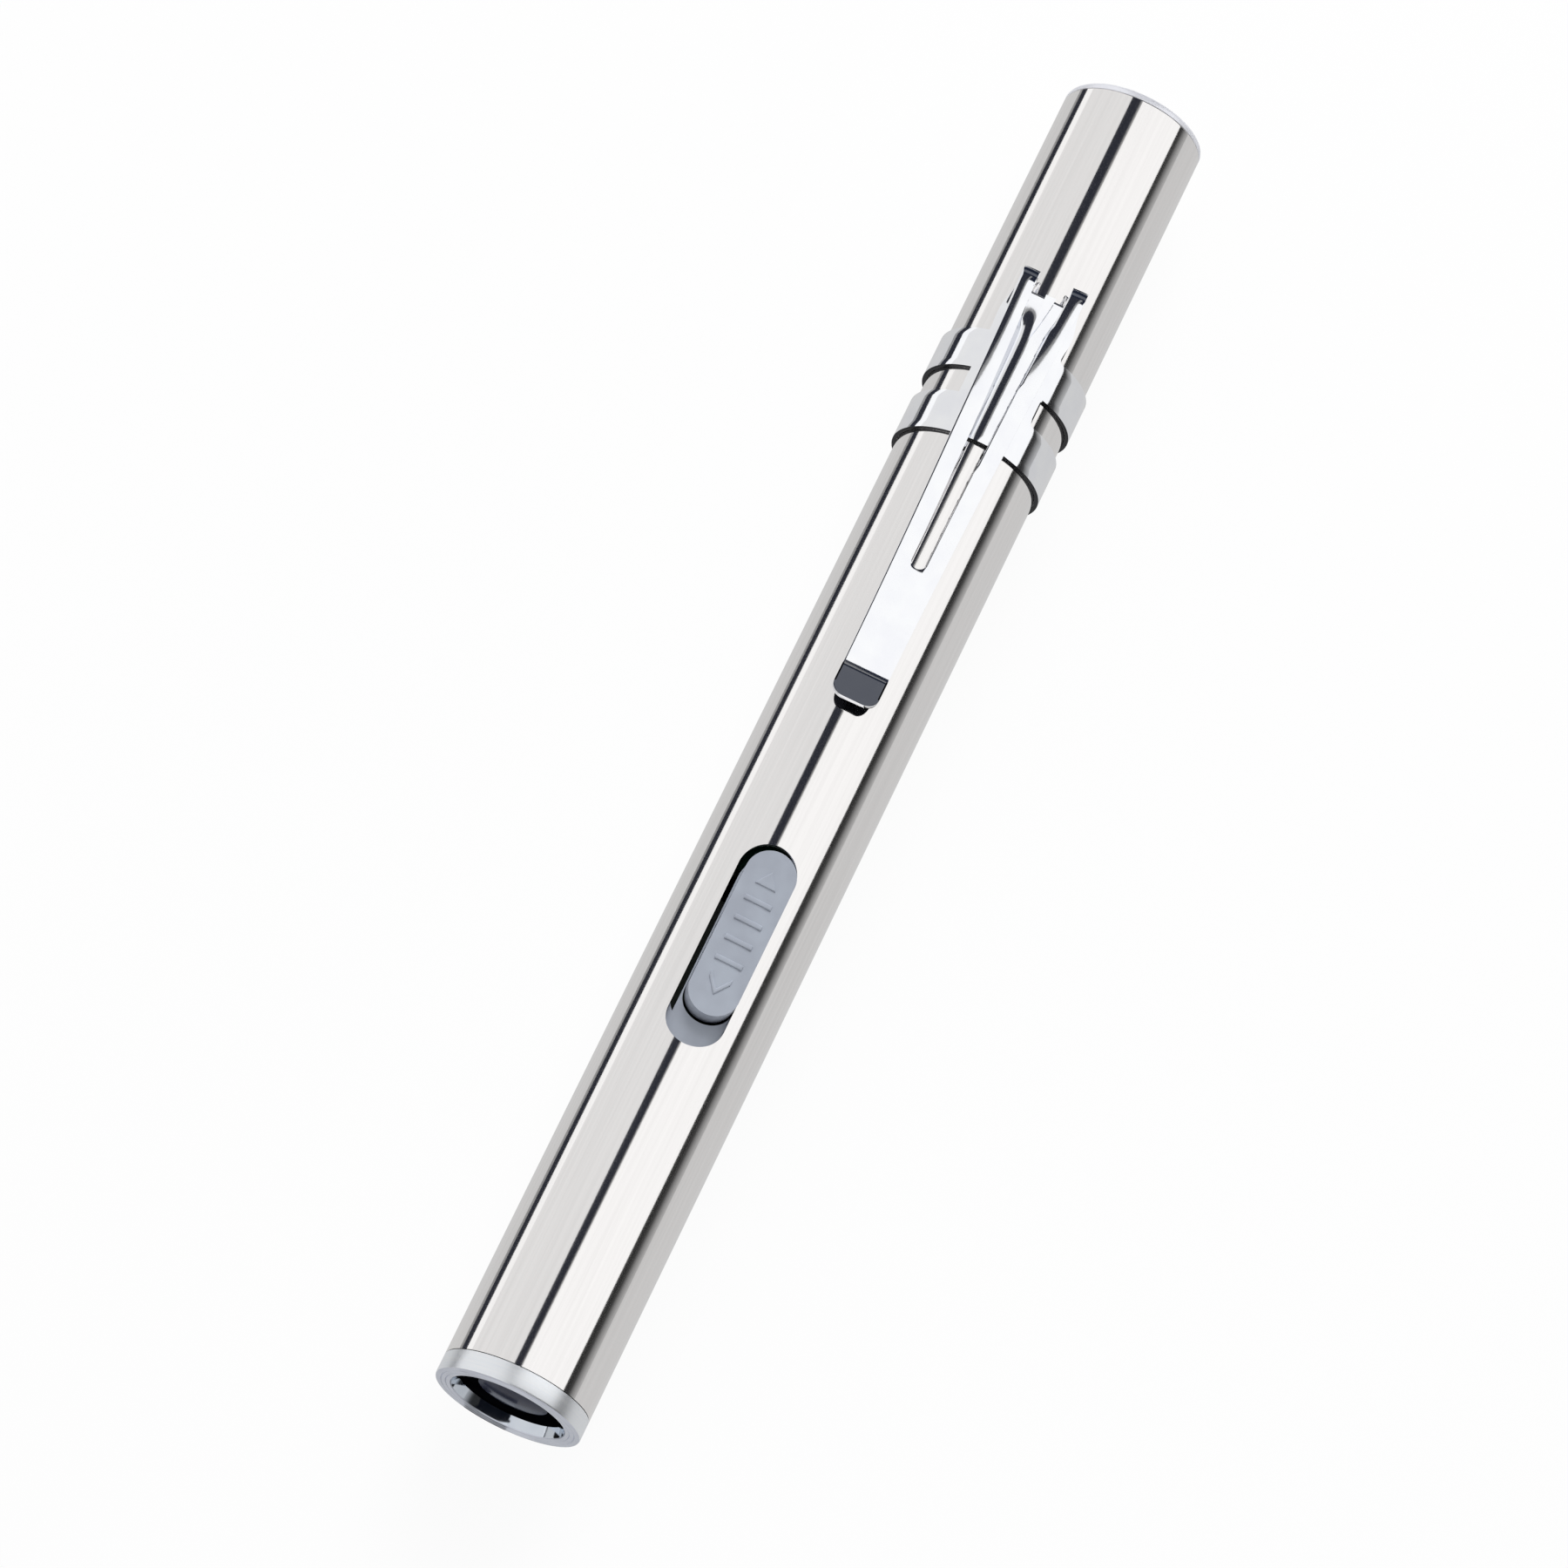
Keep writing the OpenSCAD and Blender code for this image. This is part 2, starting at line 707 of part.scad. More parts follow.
module plug_base() {
    c = neck_chamfer;
    profile = [[0, plug_x], [seat_r, plug_x], [seat_r, barrel_end_x], [neck_r, barrel_end_x],
        [neck_r, oring_x - groove_w / 2], [groove_r, oring_x - groove_w / 2],
        [groove_r, oring_x + groove_w / 2], [neck_r, oring_x + groove_w / 2],
        [neck_r, neck_end_x - c], [neck_r - c, neck_end_x], [0, neck_end_x]];
    color("black")
        difference() {
            turned(profile);
            run_x(usb_x, usb_seat_l + cut_over)
                rounded_rect(usb_w + 2 * seat_gap, usb_h + 2 * seat_gap, usb_corner_r + seat_gap);
            for (y = contact_ys)
                translate([0, y, 0])
                    block(usb_x - contact_root_l - seat_gap, tongue_z + tongue_t - seat_gap,
                        [contact_root_l + cut_over, contact_w + 2 * seat_gap, contact_t + 2 * seat_gap]);
            for (i = [0, 2])
                rotate([-lead_angles[i], 0, 0])
                    translate([0, 0, lead_path_r])
                        bar_x(plug_x - cut_over, lead_seat_l + cut_over + seat_gap,
                            lead_d / 2 + seat_gap, small_fn);
        }
}

module neck_oring() {
    color("black")
        translate([oring_x, 0, 0])
            rotate([0, 90, 0])
                rotate_extrude($fn = large_fn)
                    translate([oring_r, 0])
                        circle(d = oring_d, $fn = small_fn);
}

module usb_shell() {
    l = usb_end_x - usb_x;
    color("silver")
        difference() {
            run_x(usb_x, l)
                difference() {
                    rounded_rect(usb_w, usb_h, usb_corner_r);
                    rounded_rect(usb_w - 2 * usb_sheet, usb_h - 2 * usb_sheet, usb_corner_r - usb_sheet);
                }
            for (s = [-1, 1])
                translate([usb_end_x - usb_window_back, s * usb_window_y, 0])
                    cube([usb_window[0], usb_window[1], 2 * usb_h], center = true);
        }
}

module usb_tongue() {
    l = usb_end_x - tongue_end_gap - usb_x;
    color("whitesmoke")
        block(usb_x, tongue_z, [l, tongue_w, tongue_t]);
}

module usb_contacts() {
    x = usb_x - contact_root_l;
    color("gold")
        for (i = [0:len(contact_ys) - 1]) {
            end_x = usb_end_x - tongue_end_gap - contact_setbacks[i];
            translate([0, contact_ys[i], 0])
                block(x, tongue_z + tongue_t, [end_x - x, contact_w, contact_t]);
        }
}

module cap_tube() {
    color("gainsboro")
        pipe_x(cap_x, cap_l, tube_r, bore_r);
}

module tail_plug() {
    edge = arc([tube_r - tail_round, overall_l - tail_round], tail_round, 0, 90, 6);
    x = cap_end_x - tail_spigot_l;
    color("lightsteelblue")
        turned(concat([[tail_bore_r, x], [seat_r, x], [seat_r, cap_end_x], [tube_r, cap_end_x]], edge,
            [[0, overall_l], [0, cap_end_x], [tail_bore_r, cap_end_x]]));
}

// Share of the way that a width has gone from its far end to its root, at x
function taper(x, far_x) = pow((x - far_x) / (fold_x - far_x), taper_power);

// The arm seen from above: tapered to the bend, then straight to its rounded tip
module arm_outline() {
    xs = [for (i = [0:outline_steps]) bend_x + (fold_x - bend_x) * i / outline_steps];
    side = [for (x = xs) [x, arm_tip_w / 2 + (arm_root_w - arm_tip_w) / 2 * taper(x, bend_x)]];
    r = tip_corner_r;
    corner = arc([tip_x + r, arm_tip_w / 2 - r], r, 180, 90, 8);
    polygon(both_flanks(concat(corner, side, [[fold_end_x + cut_over, arm_root_w / 2]])));
}

// The slit seen from above: round at its end, widening to the fold
module slit_outline() {
    r = slit_end_w / 2;
    xs = [for (i = [1:outline_steps]) slit_end_x + (fold_x - slit_end_x) * i / outline_steps];
    side = [for (x = xs) [x, r + (slit_root_w / 2 - r) * taper(x, slit_end_x)]];
    polygon(both_flanks(concat(arc([slit_end_x, 0], r, 170, 90, 8), side,
        [[fold_end_x + cut_over, slit_root_w / 2]])));
}

// The arm seen from its side: upper half of the fold, straight arm, bend and flared tip
module arm_side() {
    lift = clip_t / 2;
    flare = [flare_l, -flare_rise] / norm([flare_l, flare_rise]);
    n = lift * [-flare[1], flare[0]];
    centre = [fold_x, fold_z];
    polygon(concat(
        arc(centre, fold_outer_r, fold_split_angle, 90, 12),
        [[bend_x, bend_z + lift]],
        arc([tip_x, tip_z], lift, atan2(n[1], n[0]), atan2(n[1], n[0]) + 180, 10),
        [[bend_x, bend_z - lift]],
        arc(centre, fold_r, 90, fold_split_angle, 12)));
}

// Lower half of the fold seen from its side
module fold_foot() {
    translate([fold_x, fold_z])
        intersection() {
            difference() {
                circle(r = fold_outer_r, $fn = small_fn);
                circle(r = fold_r, $fn = small_fn);
            }
            translate([-seat_gap, -2 * fold_outer_r])
                square([2 * fold_outer_r, 2 * fold_outer_r]);
        }
}

// Two C-shaped rings and the spine, with the two feet of the fold
module clip_saddle() {
    spine_end_x = fold_x;
    slit_x = fold_x - slit_spine_l;
    color("silver") {
        difference() {
            union() {
                for (i = [0:1])
                    difference() {
                        pipe_x(ring_x + i * ring_pitch, ring_w, clip_outer_r, clip_r);
                        rotate([180, 0, 0])
                            run_x(ring_x + i * ring_pitch - cut_over, ring_w + 2 * cut_over)
                                sector(ring_open_half_angle);
                    }
                intersection() {
                    pipe_x(ring_x, spine_end_x - ring_x, clip_outer_r, clip_r);
                    block(ring_x, 0, [spine_end_x - ring_x, spine_w, tube_od]);
                }
            }
            block(slit_x, 0, [spine_end_x - slit_x + cut_over, slit_root_w, tube_od]);
        }
        for (s = [-1, 1])
            translate([0, s * (arm_root_w + slit_root_w) / 4, 0])
                run_y((arm_root_w - slit_root_w) / 2)
                    fold_foot();
        difference() {
            intersection() {
                block(slit_x, tube_r / 2, [slit_spine_l, arm_root_w, fold_z - fold_r - tube_r / 2]);
                bar_x(slit_x, slit_spine_l, clip_outer_r + clip_t);
            }
            bar_x(slit_x - cut_over, slit_spine_l + 2 * cut_over, clip_r);
            block(slit_x - cut_over, 0, [slit_spine_l + 2 * cut_over, slit_root_w, tube_od]);
        }
    }
}

// Upper half of the fold, the slit arm, the bend and the flared tip
module clip_arm() {
    color("whitesmoke")
        difference() {
            intersection() {
                run_y(arm_root_w)
                    arm_side();
                linear_extrude(fold_z + 2 * fold_outer_r)
                    arm_outline();
            }
            linear_extrude(fold_z + 2 * fold_outer_r)
                slit_outline();
        }
}

barrel_tube();
bezel_ring();
lens_holder();
lens();
lens_gasket();
reflector();
led_emitter();
led_board();
heat_sink();
led_wires();
chassis();
circuit_board();
charge_chip();
driver_chip();
chip_passives();
switch_body();
switch_lever();
slide_button();
battery_cell();
cell_sleeve();
cell_tabs();
power_leads();
plug_base();
neck_oring();
usb_shell();
usb_tongue();
usb_contacts();
cap_tube();
tail_plug();
clip_saddle();
clip_arm();
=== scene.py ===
from math import asin, atan2, cos, hypot, pi, radians, sin, sqrt, tan

import bpy
from mathutils import Matrix, Vector


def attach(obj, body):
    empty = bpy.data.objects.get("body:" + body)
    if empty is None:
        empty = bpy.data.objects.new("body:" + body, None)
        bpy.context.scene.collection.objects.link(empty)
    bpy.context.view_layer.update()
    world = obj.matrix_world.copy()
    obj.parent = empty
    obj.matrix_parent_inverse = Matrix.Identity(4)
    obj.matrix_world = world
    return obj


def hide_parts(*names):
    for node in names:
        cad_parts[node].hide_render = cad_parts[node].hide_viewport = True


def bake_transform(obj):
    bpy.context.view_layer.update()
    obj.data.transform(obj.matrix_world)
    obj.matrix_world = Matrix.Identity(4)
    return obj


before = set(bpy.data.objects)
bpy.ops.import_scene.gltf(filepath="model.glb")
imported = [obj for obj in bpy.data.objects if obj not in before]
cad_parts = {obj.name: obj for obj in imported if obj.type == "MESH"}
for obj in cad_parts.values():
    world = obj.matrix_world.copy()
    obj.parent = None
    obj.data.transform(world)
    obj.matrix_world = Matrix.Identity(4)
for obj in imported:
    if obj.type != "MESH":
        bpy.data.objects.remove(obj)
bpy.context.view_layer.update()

# Looks of a steel pocket light. Its frame is the CAD frame: X runs from the lens end to the
# tail, and Z points out through the slide button and the clip. Sizes below are in millimetres.
MM = 0.001

TUBE_R = 7.0
BORE_R = 6.5
BARREL = (1.95, 100.27)
CAP = (100.37, 139.25)
TAIL_X = 140.0
TUBE_SIDES = 256
TUBE_EDGE = 0.06
SLOT_X = 35.12
SLOT_L = 20.7
SLOT_W = 5.5
SLOT_TOOL = (2.0, 9.0)


# camera

# The lens and the sensor are in millimetres, and the rest in metres. The place and the right, up and back
# directions are fitted to the photo's tube edges and seams, and all is then turned about the tube's axis.
CAMERA_LENS = 160.24
CAMERA_SENSOR = 36.0
CAMERA_FAR = 10.0
CAMERA_AT = Vector((-0.16709, 0.0, 0.59106))
CAMERA_AXES = ((0.41023, -0.89837, 0.15699), (0.83604, 0.43923, 0.32882), (-0.36435, -0.00364, 0.93125))
CAMERA_TURN = radians(0.9)


def add_camera():
    lens = bpy.data.cameras.new("camera")
    lens.lens = CAMERA_LENS
    lens.sensor_width = CAMERA_SENSOR
    lens.clip_end = CAMERA_FAR
    camera = bpy.data.objects.new("camera", lens)
    bpy.context.scene.collection.objects.link(camera)
    place = Matrix([[axis[i] for axis in CAMERA_AXES] for i in range(3)]).to_4x4()
    place.translation = CAMERA_AT
    camera.matrix_world = Matrix.Rotation(CAMERA_TURN, 4, "X") @ place
    bpy.context.scene.camera = camera


# modelling helpers

# Points nearer to each other than this are merged
MERGE = 0.002
# A point this near to the tube's outside is on it, if its face looks outwards by more than this
ON_TUBE = 0.004
OUTWARDS = 0.2


def clear():
    bpy.ops.object.select_all(action="DESELECT")


def only(*pieces):
    """Selects these pieces and nothing else, the first one active."""
    clear()
    for piece in pieces:
        piece.select_set(True)
    bpy.context.view_layer.objects.active = pieces[0]


def fresh(name):
    """Names the primitive that was just added, and puts its place into its mesh."""
    piece = bpy.context.object
    piece.name = name
    piece.data.name = name
    bpy.ops.object.transform_apply(location=True, rotation=True, scale=True)
    return piece


def modify(piece, kind, **settings):
    """Adds a modifier and applies it."""
    only(piece)
    made = piece.modifiers.new(kind.lower(), kind)
    for key, value in settings.items():
        setattr(made, key, value)
    bpy.ops.object.modifier_apply(modifier=made.name)


def bevel(piece, width, segments=2, angle=40):
    modify(piece, "BEVEL", width=width * MM, segments=segments, limit_method="ANGLE",
           angle_limit=radians(angle), use_clamp_overlap=True, harden_normals=False)


def smooth(piece, angle=35):
    only(piece)
    bpy.ops.object.shade_smooth_by_angle(angle=radians(angle))
    modify(piece, "WEIGHTED_NORMAL", keep_sharp=True)


def cut(piece, tool, operation="DIFFERENCE"):
    modify(piece, "BOOLEAN", object=tool, operation=operation, solver="EXACT")
    bpy.data.objects.remove(tool)


def turned(name, stations, sides=192, close=True, fill_start=False, fill_end=False):
    """Turns (x, radius) stations about the tube's axis: each ring is extruded from the one before.
    A closed profile ends where it starts, and an open one has a flat disc at its start and end."""
    clear()
    x, r = stations[0]
    bpy.ops.mesh.primitive_circle_add(vertices=sides, radius=r * MM, location=(x * MM, 0, 0),
                                      rotation=(0, pi / 2, 0))
    piece = fresh(name)
    bpy.ops.object.mode_set(mode="EDIT")
    bpy.ops.mesh.select_all(action="SELECT")
    if fill_start:
        bpy.ops.mesh.edge_face_add()
        bpy.ops.mesh.select_all(action="SELECT")
    for (xa, ra), (xb, rb) in zip(stations, stations[1:]):
        if fill_start and (xa, ra) == stations[0]:
            bpy.ops.mesh.extrude_edges_move(TRANSFORM_OT_translate={"value": ((xb - xa) * MM, 0, 0)})
        else:
            bpy.ops.mesh.extrude_region_move(TRANSFORM_OT_translate={"value": ((xb - xa) * MM, 0, 0)})
        if rb != ra:
            bpy.ops.transform.resize(value=(1, rb / ra, rb / ra), center_override=(xb * MM, 0, 0))
    if fill_end:
        bpy.ops.mesh.edge_face_add()
    bpy.ops.mesh.select_all(action="SELECT")
    if close:
        bpy.ops.mesh.remove_doubles(threshold=MERGE * MM)
    bpy.ops.mesh.normals_make_consistent(inside=False)
    bpy.ops.object.mode_set(mode="OBJECT")
    return piece


def round_bar(name, x0, x1, radius, sides=192, ends="NGON"):
    """A straight bar along the tube's axis."""
    clear()
    bpy.ops.mesh.primitive_cylinder_add(vertices=sides, radius=radius * MM, depth=(x1 - x0) * MM,
                                        location=((x0 + x1) / 2 * MM, 0, 0), rotation=(0, pi / 2, 0),
                                        end_fill_type=ends)
    return fresh(name)


def stadium_bar(name, x0, x1, width, z0, z1, sides=96):
    """An upright bar whose plan is a rectangle with two half-round ends."""
    clear()
    r = width / 2
    bpy.ops.mesh.primitive_cylinder_add(vertices=sides, radius=r * MM, depth=(z1 - z0) * MM,
                                        location=((x0 + r) * MM, 0, (z0 + z1) / 2 * MM),
                                        rotation=(0, 0, pi / sides))
    piece = fresh(name)
    bpy.ops.object.mode_set(mode="EDIT")
    bpy.ops.mesh.select_all(action="DESELECT")
    bpy.ops.object.mode_set(mode="OBJECT")
    for vertex in piece.data.vertices:
        vertex.select = vertex.co.x > (x0 + r) * MM
    bpy.ops.object.mode_set(mode="EDIT")
    bpy.ops.transform.translate(value=((x1 - x0 - width) * MM, 0, 0))
    bpy.ops.object.mode_set(mode="OBJECT")
    return piece


def plate(name, outline, z0, z1):
    """A flat plate: its outline is drawn point by point, filled and extruded upwards."""
    clear()
    bpy.ops.mesh.primitive_plane_add(size=MM, location=(outline[0][0] * MM, outline[0][1] * MM, z0 * MM))
    piece = fresh(name)
    bpy.ops.object.mode_set(mode="EDIT")
    bpy.ops.mesh.select_all(action="SELECT")
    bpy.ops.mesh.merge(type="CENTER")
    for (xa, ya), (xb, yb) in zip(outline, outline[1:]):
        step = ((xb - xa) * MM, (yb - ya) * MM, 0)
        bpy.ops.mesh.extrude_vertices_move(TRANSFORM_OT_translate={"value": step})
    bpy.ops.mesh.select_all(action="SELECT")
    bpy.ops.mesh.edge_face_add()
    bpy.ops.mesh.extrude_region_move(TRANSFORM_OT_translate={"value": (0, 0, (z1 - z0) * MM)})
    bpy.ops.mesh.select_all(action="SELECT")
    bpy.ops.mesh.normals_make_consistent(inside=False)
    bpy.ops.object.mode_set(mode="OBJECT")
    return piece


def true_round(piece, radius):
    """Points the normals on a tube's outside straight out, so reflections pass a cut-out unbroken."""
    mesh = piece.data
    normals = [Vector(corner.vector) for corner in mesh.corner_normals]
    for face in mesh.polygons:
        for loop in face.loop_indices:
            place = mesh.vertices[mesh.loops[loop].vertex_index].co
            out = Vector((0, place.y, place.z))
            if abs(out.length - radius * MM) < ON_TUBE * MM and face.normal.dot(out.normalized()) > OUTWARDS:
                normals[loop] = out.normalized()
    mesh.normals_split_custom_set(normals)


def join(name, *pieces):
    only(*pieces)
    bpy.ops.object.join()
    pieces[0].name = name
    return pieces[0]


# materials

PLASTIC_IOR = 1.5
# How far the grain moves a plastic's roughness up and down
GRAIN_GLOSS = 0.06


def linear(hex_colour):
    """An sRGB hex colour as linear red, green, blue and alpha."""
    values = [int(hex_colour[i:i + 2], 16) / 255 for i in (1, 3, 5)]
    return tuple(v / 12.92 if v <= 0.04045 else ((v + 0.055) / 1.055) ** 2.4 for v in values) + (1.0,)


def add(tree, kind, values=None, links=None, stops=(), **settings):
    """Adds a node with its settings, its sockets' values, its links and a colour ramp's two stops."""
    made = tree.nodes.new(kind)
    for key, value in settings.items():
        setattr(made, key, value)
    for key, value in (values or {}).items():
        made.inputs[key].default_value = value
    for key, source in (links or {}).items():
        tree.links.new(source, made.inputs[key])
    for i, (place, colour) in enumerate(stops):
        made.color_ramp.elements[i].position = place
        made.color_ramp.elements[i].color = colour
    return made


def start_material(name, metallic=0.0):
    """A new material, its node tree and its surface node."""
    made = bpy.data.materials.new(name)
    made.use_nodes = True
    surface = made.node_tree.nodes["Principled BSDF"]
    surface.inputs["Metallic"].default_value = metallic
    return made, made.node_tree, surface


def object_place(tree, scale):
    """Object coordinates times a scale: repeats per metre along X, Y and Z."""
    place = add(tree, "ShaderNodeTexCoord").outputs["Object"]
    return add(tree, "ShaderNodeMapping", {"Scale": scale}, {"Vector": place}).outputs["Vector"]


def vary(tree, surface, colour_source, places, colours, gloss_source, roughness):
    """Lets patterns move the colour between two hex values and the roughness between two numbers."""
    stops = [(place, linear(colour)) for place, colour in zip(places, colours)]
    colour = add(tree, "ShaderNodeValToRGB", None, {"Fac": colour_source}, stops)
    tree.links.new(colour.outputs["Color"], surface.inputs["Base Color"])
    gloss = add(tree, "ShaderNodeMapRange", {"To Min": roughness[0], "To Max": roughness[1]},
                {"Value": gloss_source})
    tree.links.new(gloss.outputs["Result"], surface.inputs["Roughness"])


def per_mm(size):
    """Repeats per metre of a pattern of this size in millimetres."""
    return 1000.0 / size


def drawn_stainless():
    # Stainless tube, drawn through a die and polished: a mirror across, with faint long streaks. The streaks
    # are drawn 0.35 mm wide and 30 mm long, since the real ones are too fine to show, over 1.6 mm waves.
    made, tree, surface = start_material("drawn_stainless", metallic=1.0)
    streaks = add(tree, "ShaderNodeTexNoise", {"Scale": 1.0, "Detail": 4.0, "Roughness": 0.6},
                  {"Vector": object_place(tree, (per_mm(30), per_mm(0.35), per_mm(0.35)))})
    waves = add(tree, "ShaderNodeTexNoise", {"Scale": 1.0, "Detail": 2.0},
                {"Vector": object_place(tree, (per_mm(14), per_mm(1.6), per_mm(1.6)))})
    streak = streaks.outputs["Fac"]
    vary(tree, surface, streak, (0.35, 0.65), ("#F2F0EF", "#F8F6F5"), streak, (0.05, 0.10))
    fine = add(tree, "ShaderNodeBump", {"Strength": 0.04, "Distance": 0.004 * MM}, {"Height": streak})
    both = add(tree, "ShaderNodeBump", {"Strength": 0.2, "Distance": 0.006 * MM},
               {"Height": waves.outputs["Fac"], "Normal": fine.outputs["Normal"]})
    tree.links.new(both.outputs["Normal"], surface.inputs["Normal"])
    return made


def turned_aluminium():
    # Clear-anodised aluminium from the lathe: satin, with faint turning rings. They are drawn 0.12 mm apart,
    # as the real ones, a twentieth of a millimetre, are too fine to show.
    made, tree, surface = start_material("turned_aluminium", metallic=1.0)
    rings = add(tree, "ShaderNodeTexNoise", {"Scale": 1.0, "Detail": 3.0},
                {"Vector": object_place(tree, (per_mm(0.12), per_mm(4), per_mm(4)))})
    ring = rings.outputs["Fac"]
    vary(tree, surface, ring, (0.3, 0.7), ("#F4F8FD", "#FBFDFF"), ring, (0.30, 0.40))
    fine = add(tree, "ShaderNodeBump", {"Strength": 0.3, "Distance": 0.004 * MM}, {"Height": ring})
    tree.links.new(fine.outputs["Normal"], surface.inputs["Normal"])
    return made


def polished_metal(name, low, high, roughness, wave=0.0, metallic=1.0):
    """A bright metal whose colour and gloss vary a little in 2.5 mm clouds, with waves of this height in
    millimetres."""
    made, tree, surface = start_material(name, metallic=metallic)
    cloud = add(tree, "ShaderNodeTexNoise", {"Scale": per_mm(2.5), "Detail": 3.0},
                {"Vector": object_place(tree, (1, 1, 1))})
    vary(tree, surface, cloud.outputs["Fac"], (0.35, 0.65), (low, high), cloud.outputs["Fac"], roughness)
    if wave:
        bump = add(tree, "ShaderNodeBump", {"Strength": 1.0, "Distance": wave * MM},
                   {"Height": cloud.outputs["Fac"]})
        tree.links.new(bump.outputs["Normal"], surface.inputs["Normal"])
    return made


def moulded_plastic(name, low, high, roughness, grain=0.08, depth=0.004, shine=0.5):
    """Moulded plastic: the mould's fine spark-eroded grain, and slight 3 mm clouds in its colour. The grain's
    size and depth are in millimetres."""
    made, tree, surface = start_material(name)
    surface.inputs["IOR"].default_value = PLASTIC_IOR
    surface.inputs["Specular IOR Level"].default_value = shine
    place = object_place(tree, (1, 1, 1))
    cloud = add(tree, "ShaderNodeTexNoise", {"Scale": per_mm(3), "Detail": 2.0}, {"Vector": place})
    fine = add(tree, "ShaderNodeTexNoise", {"Scale": per_mm(grain), "Detail": 2.0}, {"Vector": place})
    vary(tree, surface, cloud.outputs["Fac"], (0.35, 0.65), (low, high), fine.outputs["Fac"],
         (roughness - GRAIN_GLOSS, roughness + GRAIN_GLOSS))
    bump = add(tree, "ShaderNodeBump", {"Strength": 0.4, "Distance": depth * MM},
               {"Height": fine.outputs["Fac"]})
    tree.links.new(bump.outputs["Normal"], surface.inputs["Normal"])
    return made


def finishes():
    return {
        # Tube and cap: the studio mirrored in long straight lines, a little warm
        "tube": drawn_stainless(),
        # Bezel's band: a soft satin ring that blurs those lines
        "bezel": turned_aluminium(),
        # Its front, faced on the lathe: greyer and duller than the band, the grey being painted shade of the
        # floor that it reflects
        "bezel_face": polished_metal("aluminium_front_painted_shade", "#D0D4DF", "#DADEE8", (0.3, 0.4)),
        # Its mouth, cut with a diamond tool: a sharp, cool mirror
        "bezel_bore": polished_metal("diamond_cut_aluminium", "#D4DBE5", "#E0E6EE", (0.06, 0.12)),
        # Tail plug, blasted and anodised: an even pale grey with a wide soft highlight
        "tail": polished_metal("satin_aluminium", "#EEEFF6", "#F3F4FA", (0.34, 0.44), metallic=0.6),
        # Clip, chromed: the whitest and sharpest mirror here, very slightly rippled
        "clip": polished_metal("bright_chrome", "#F6F7FB", "#FBFCFE", (0.04, 0.09), wave=0.004),
        # Its front edges and the flare's underside and sides: thin lines, nearly black and dull, painted
        # shade of the shaded gaps under them
        "clip_painted_shade": polished_metal("painted_shade_steel", "#15161A", "#23242A", (0.35, 0.5)),
        # Slide button under grey lacquer: blue-grey with a soft sheen and a faint grain
        "button": moulded_plastic("lacquered_abs", "#A3A9B5", "#ADB4C0", 0.48),
        # Bush deep in the mouth: black with no highlight
        "holder": moulded_plastic("black_abs", "#030305", "#06070A", 0.3, shine=0.0),
        # Lens: an even dark blue-grey that shines only faintly
        "lens": moulded_plastic("smoked_acrylic", "#2B2E3D", "#343848", 0.15, depth=0.0, shine=0.035),
        # Gasket: nearly black and dull, as soft rubbers are
        "gasket": moulded_plastic("silicone_rubber", "#141416", "#1C1C1F", 0.6),
        # Reflector bowl, aluminium on plastic from a vacuum: a bright even mirror
        "reflector": polished_metal("vacuum_metallised_plastic", "#DADBDD", "#ECEDEF", (0.05, 0.1)),
        # LED, phosphor under a clear skin: yellow and waxy
        "phosphor": moulded_plastic("phosphor_and_silicone", "#E9CF57", "#F1DC78", 0.3),
        # LED's round board: off-white with a soft shine
        "led_board": moulded_plastic("white_solder_mask", "#E8E8E2", "#F2F2EE", 0.4),
        # Heat sink as it leaves the lathe: mid grey and satin
        "bare_aluminium": polished_metal("bare_turned_aluminium", "#B9BCC1", "#CBCED2", (0.28, 0.4)),
        # Insulation of wires and leads: deep red with a soft shine
        "red_silicone": moulded_plastic("red_silicone_insulation", "#8E1512", "#A51C18", 0.45),
        # Tray: dark grey with the mould's dull grain
        "chassis": moulded_plastic("dark_grey_abs", "#18191B", "#1F2022", 0.5),
        # Circuit board: dark green with a wet shine, made this dark as painted shade where it shows through
        # the gap round the button
        "solder_mask": moulded_plastic("green_solder_mask", "#0A2A18", "#0F3520", 0.35),
        # Chips and switch lever: matt black
        "epoxy": moulded_plastic("black_epoxy", "#111214", "#1A1B1E", 0.55),
        # Small board parts: dull tan
        "ceramic": moulded_plastic("tan_ceramic", "#8C6B49", "#A07D58", 0.5),
        # Switch shell: pale grey, bright but cloudy
        "tinned_steel": polished_metal("tinned_steel", "#C6C7C9", "#D8D9DB", (0.2, 0.32)),
        # Film round the cell: dark green, smooth and shiny, made this dark as painted shade where it shows
        # through the gap round the button
        "sleeve": moulded_plastic("dark_green_shrink_film", "#0A2319", "#0E2C20", 0.3),
        # Cell, its tabs and the plug's shell: a warm bright mirror, a little clouded
        "nickel": polished_metal("nickel_plate", "#CFCBC2", "#DEDBD4", (0.12, 0.22)),
        # Neck that takes the cap: black and satin
        "neck": moulded_plastic("black_nylon", "#121214", "#1B1B1E", 0.45),
        # Ring in the neck's groove: black and dull
        "oring": moulded_plastic("nitrile_rubber", "#0F0F10", "#18181A", 0.55),
        # Plug's tongue: warm white and satin
        "tongue": moulded_plastic("white_filled_nylon", "#E6E5DF", "#F1F0EB", 0.5),
        # Contacts: yellow with a soft mirror
        "gold": polished_metal("gold_plate", "#D9A945", "#E9C067", (0.15, 0.25)),
    }


def coat(piece, *materials):
    piece.data.materials.clear()
    for material in materials:
        piece.data.materials.append(material)


# pieces

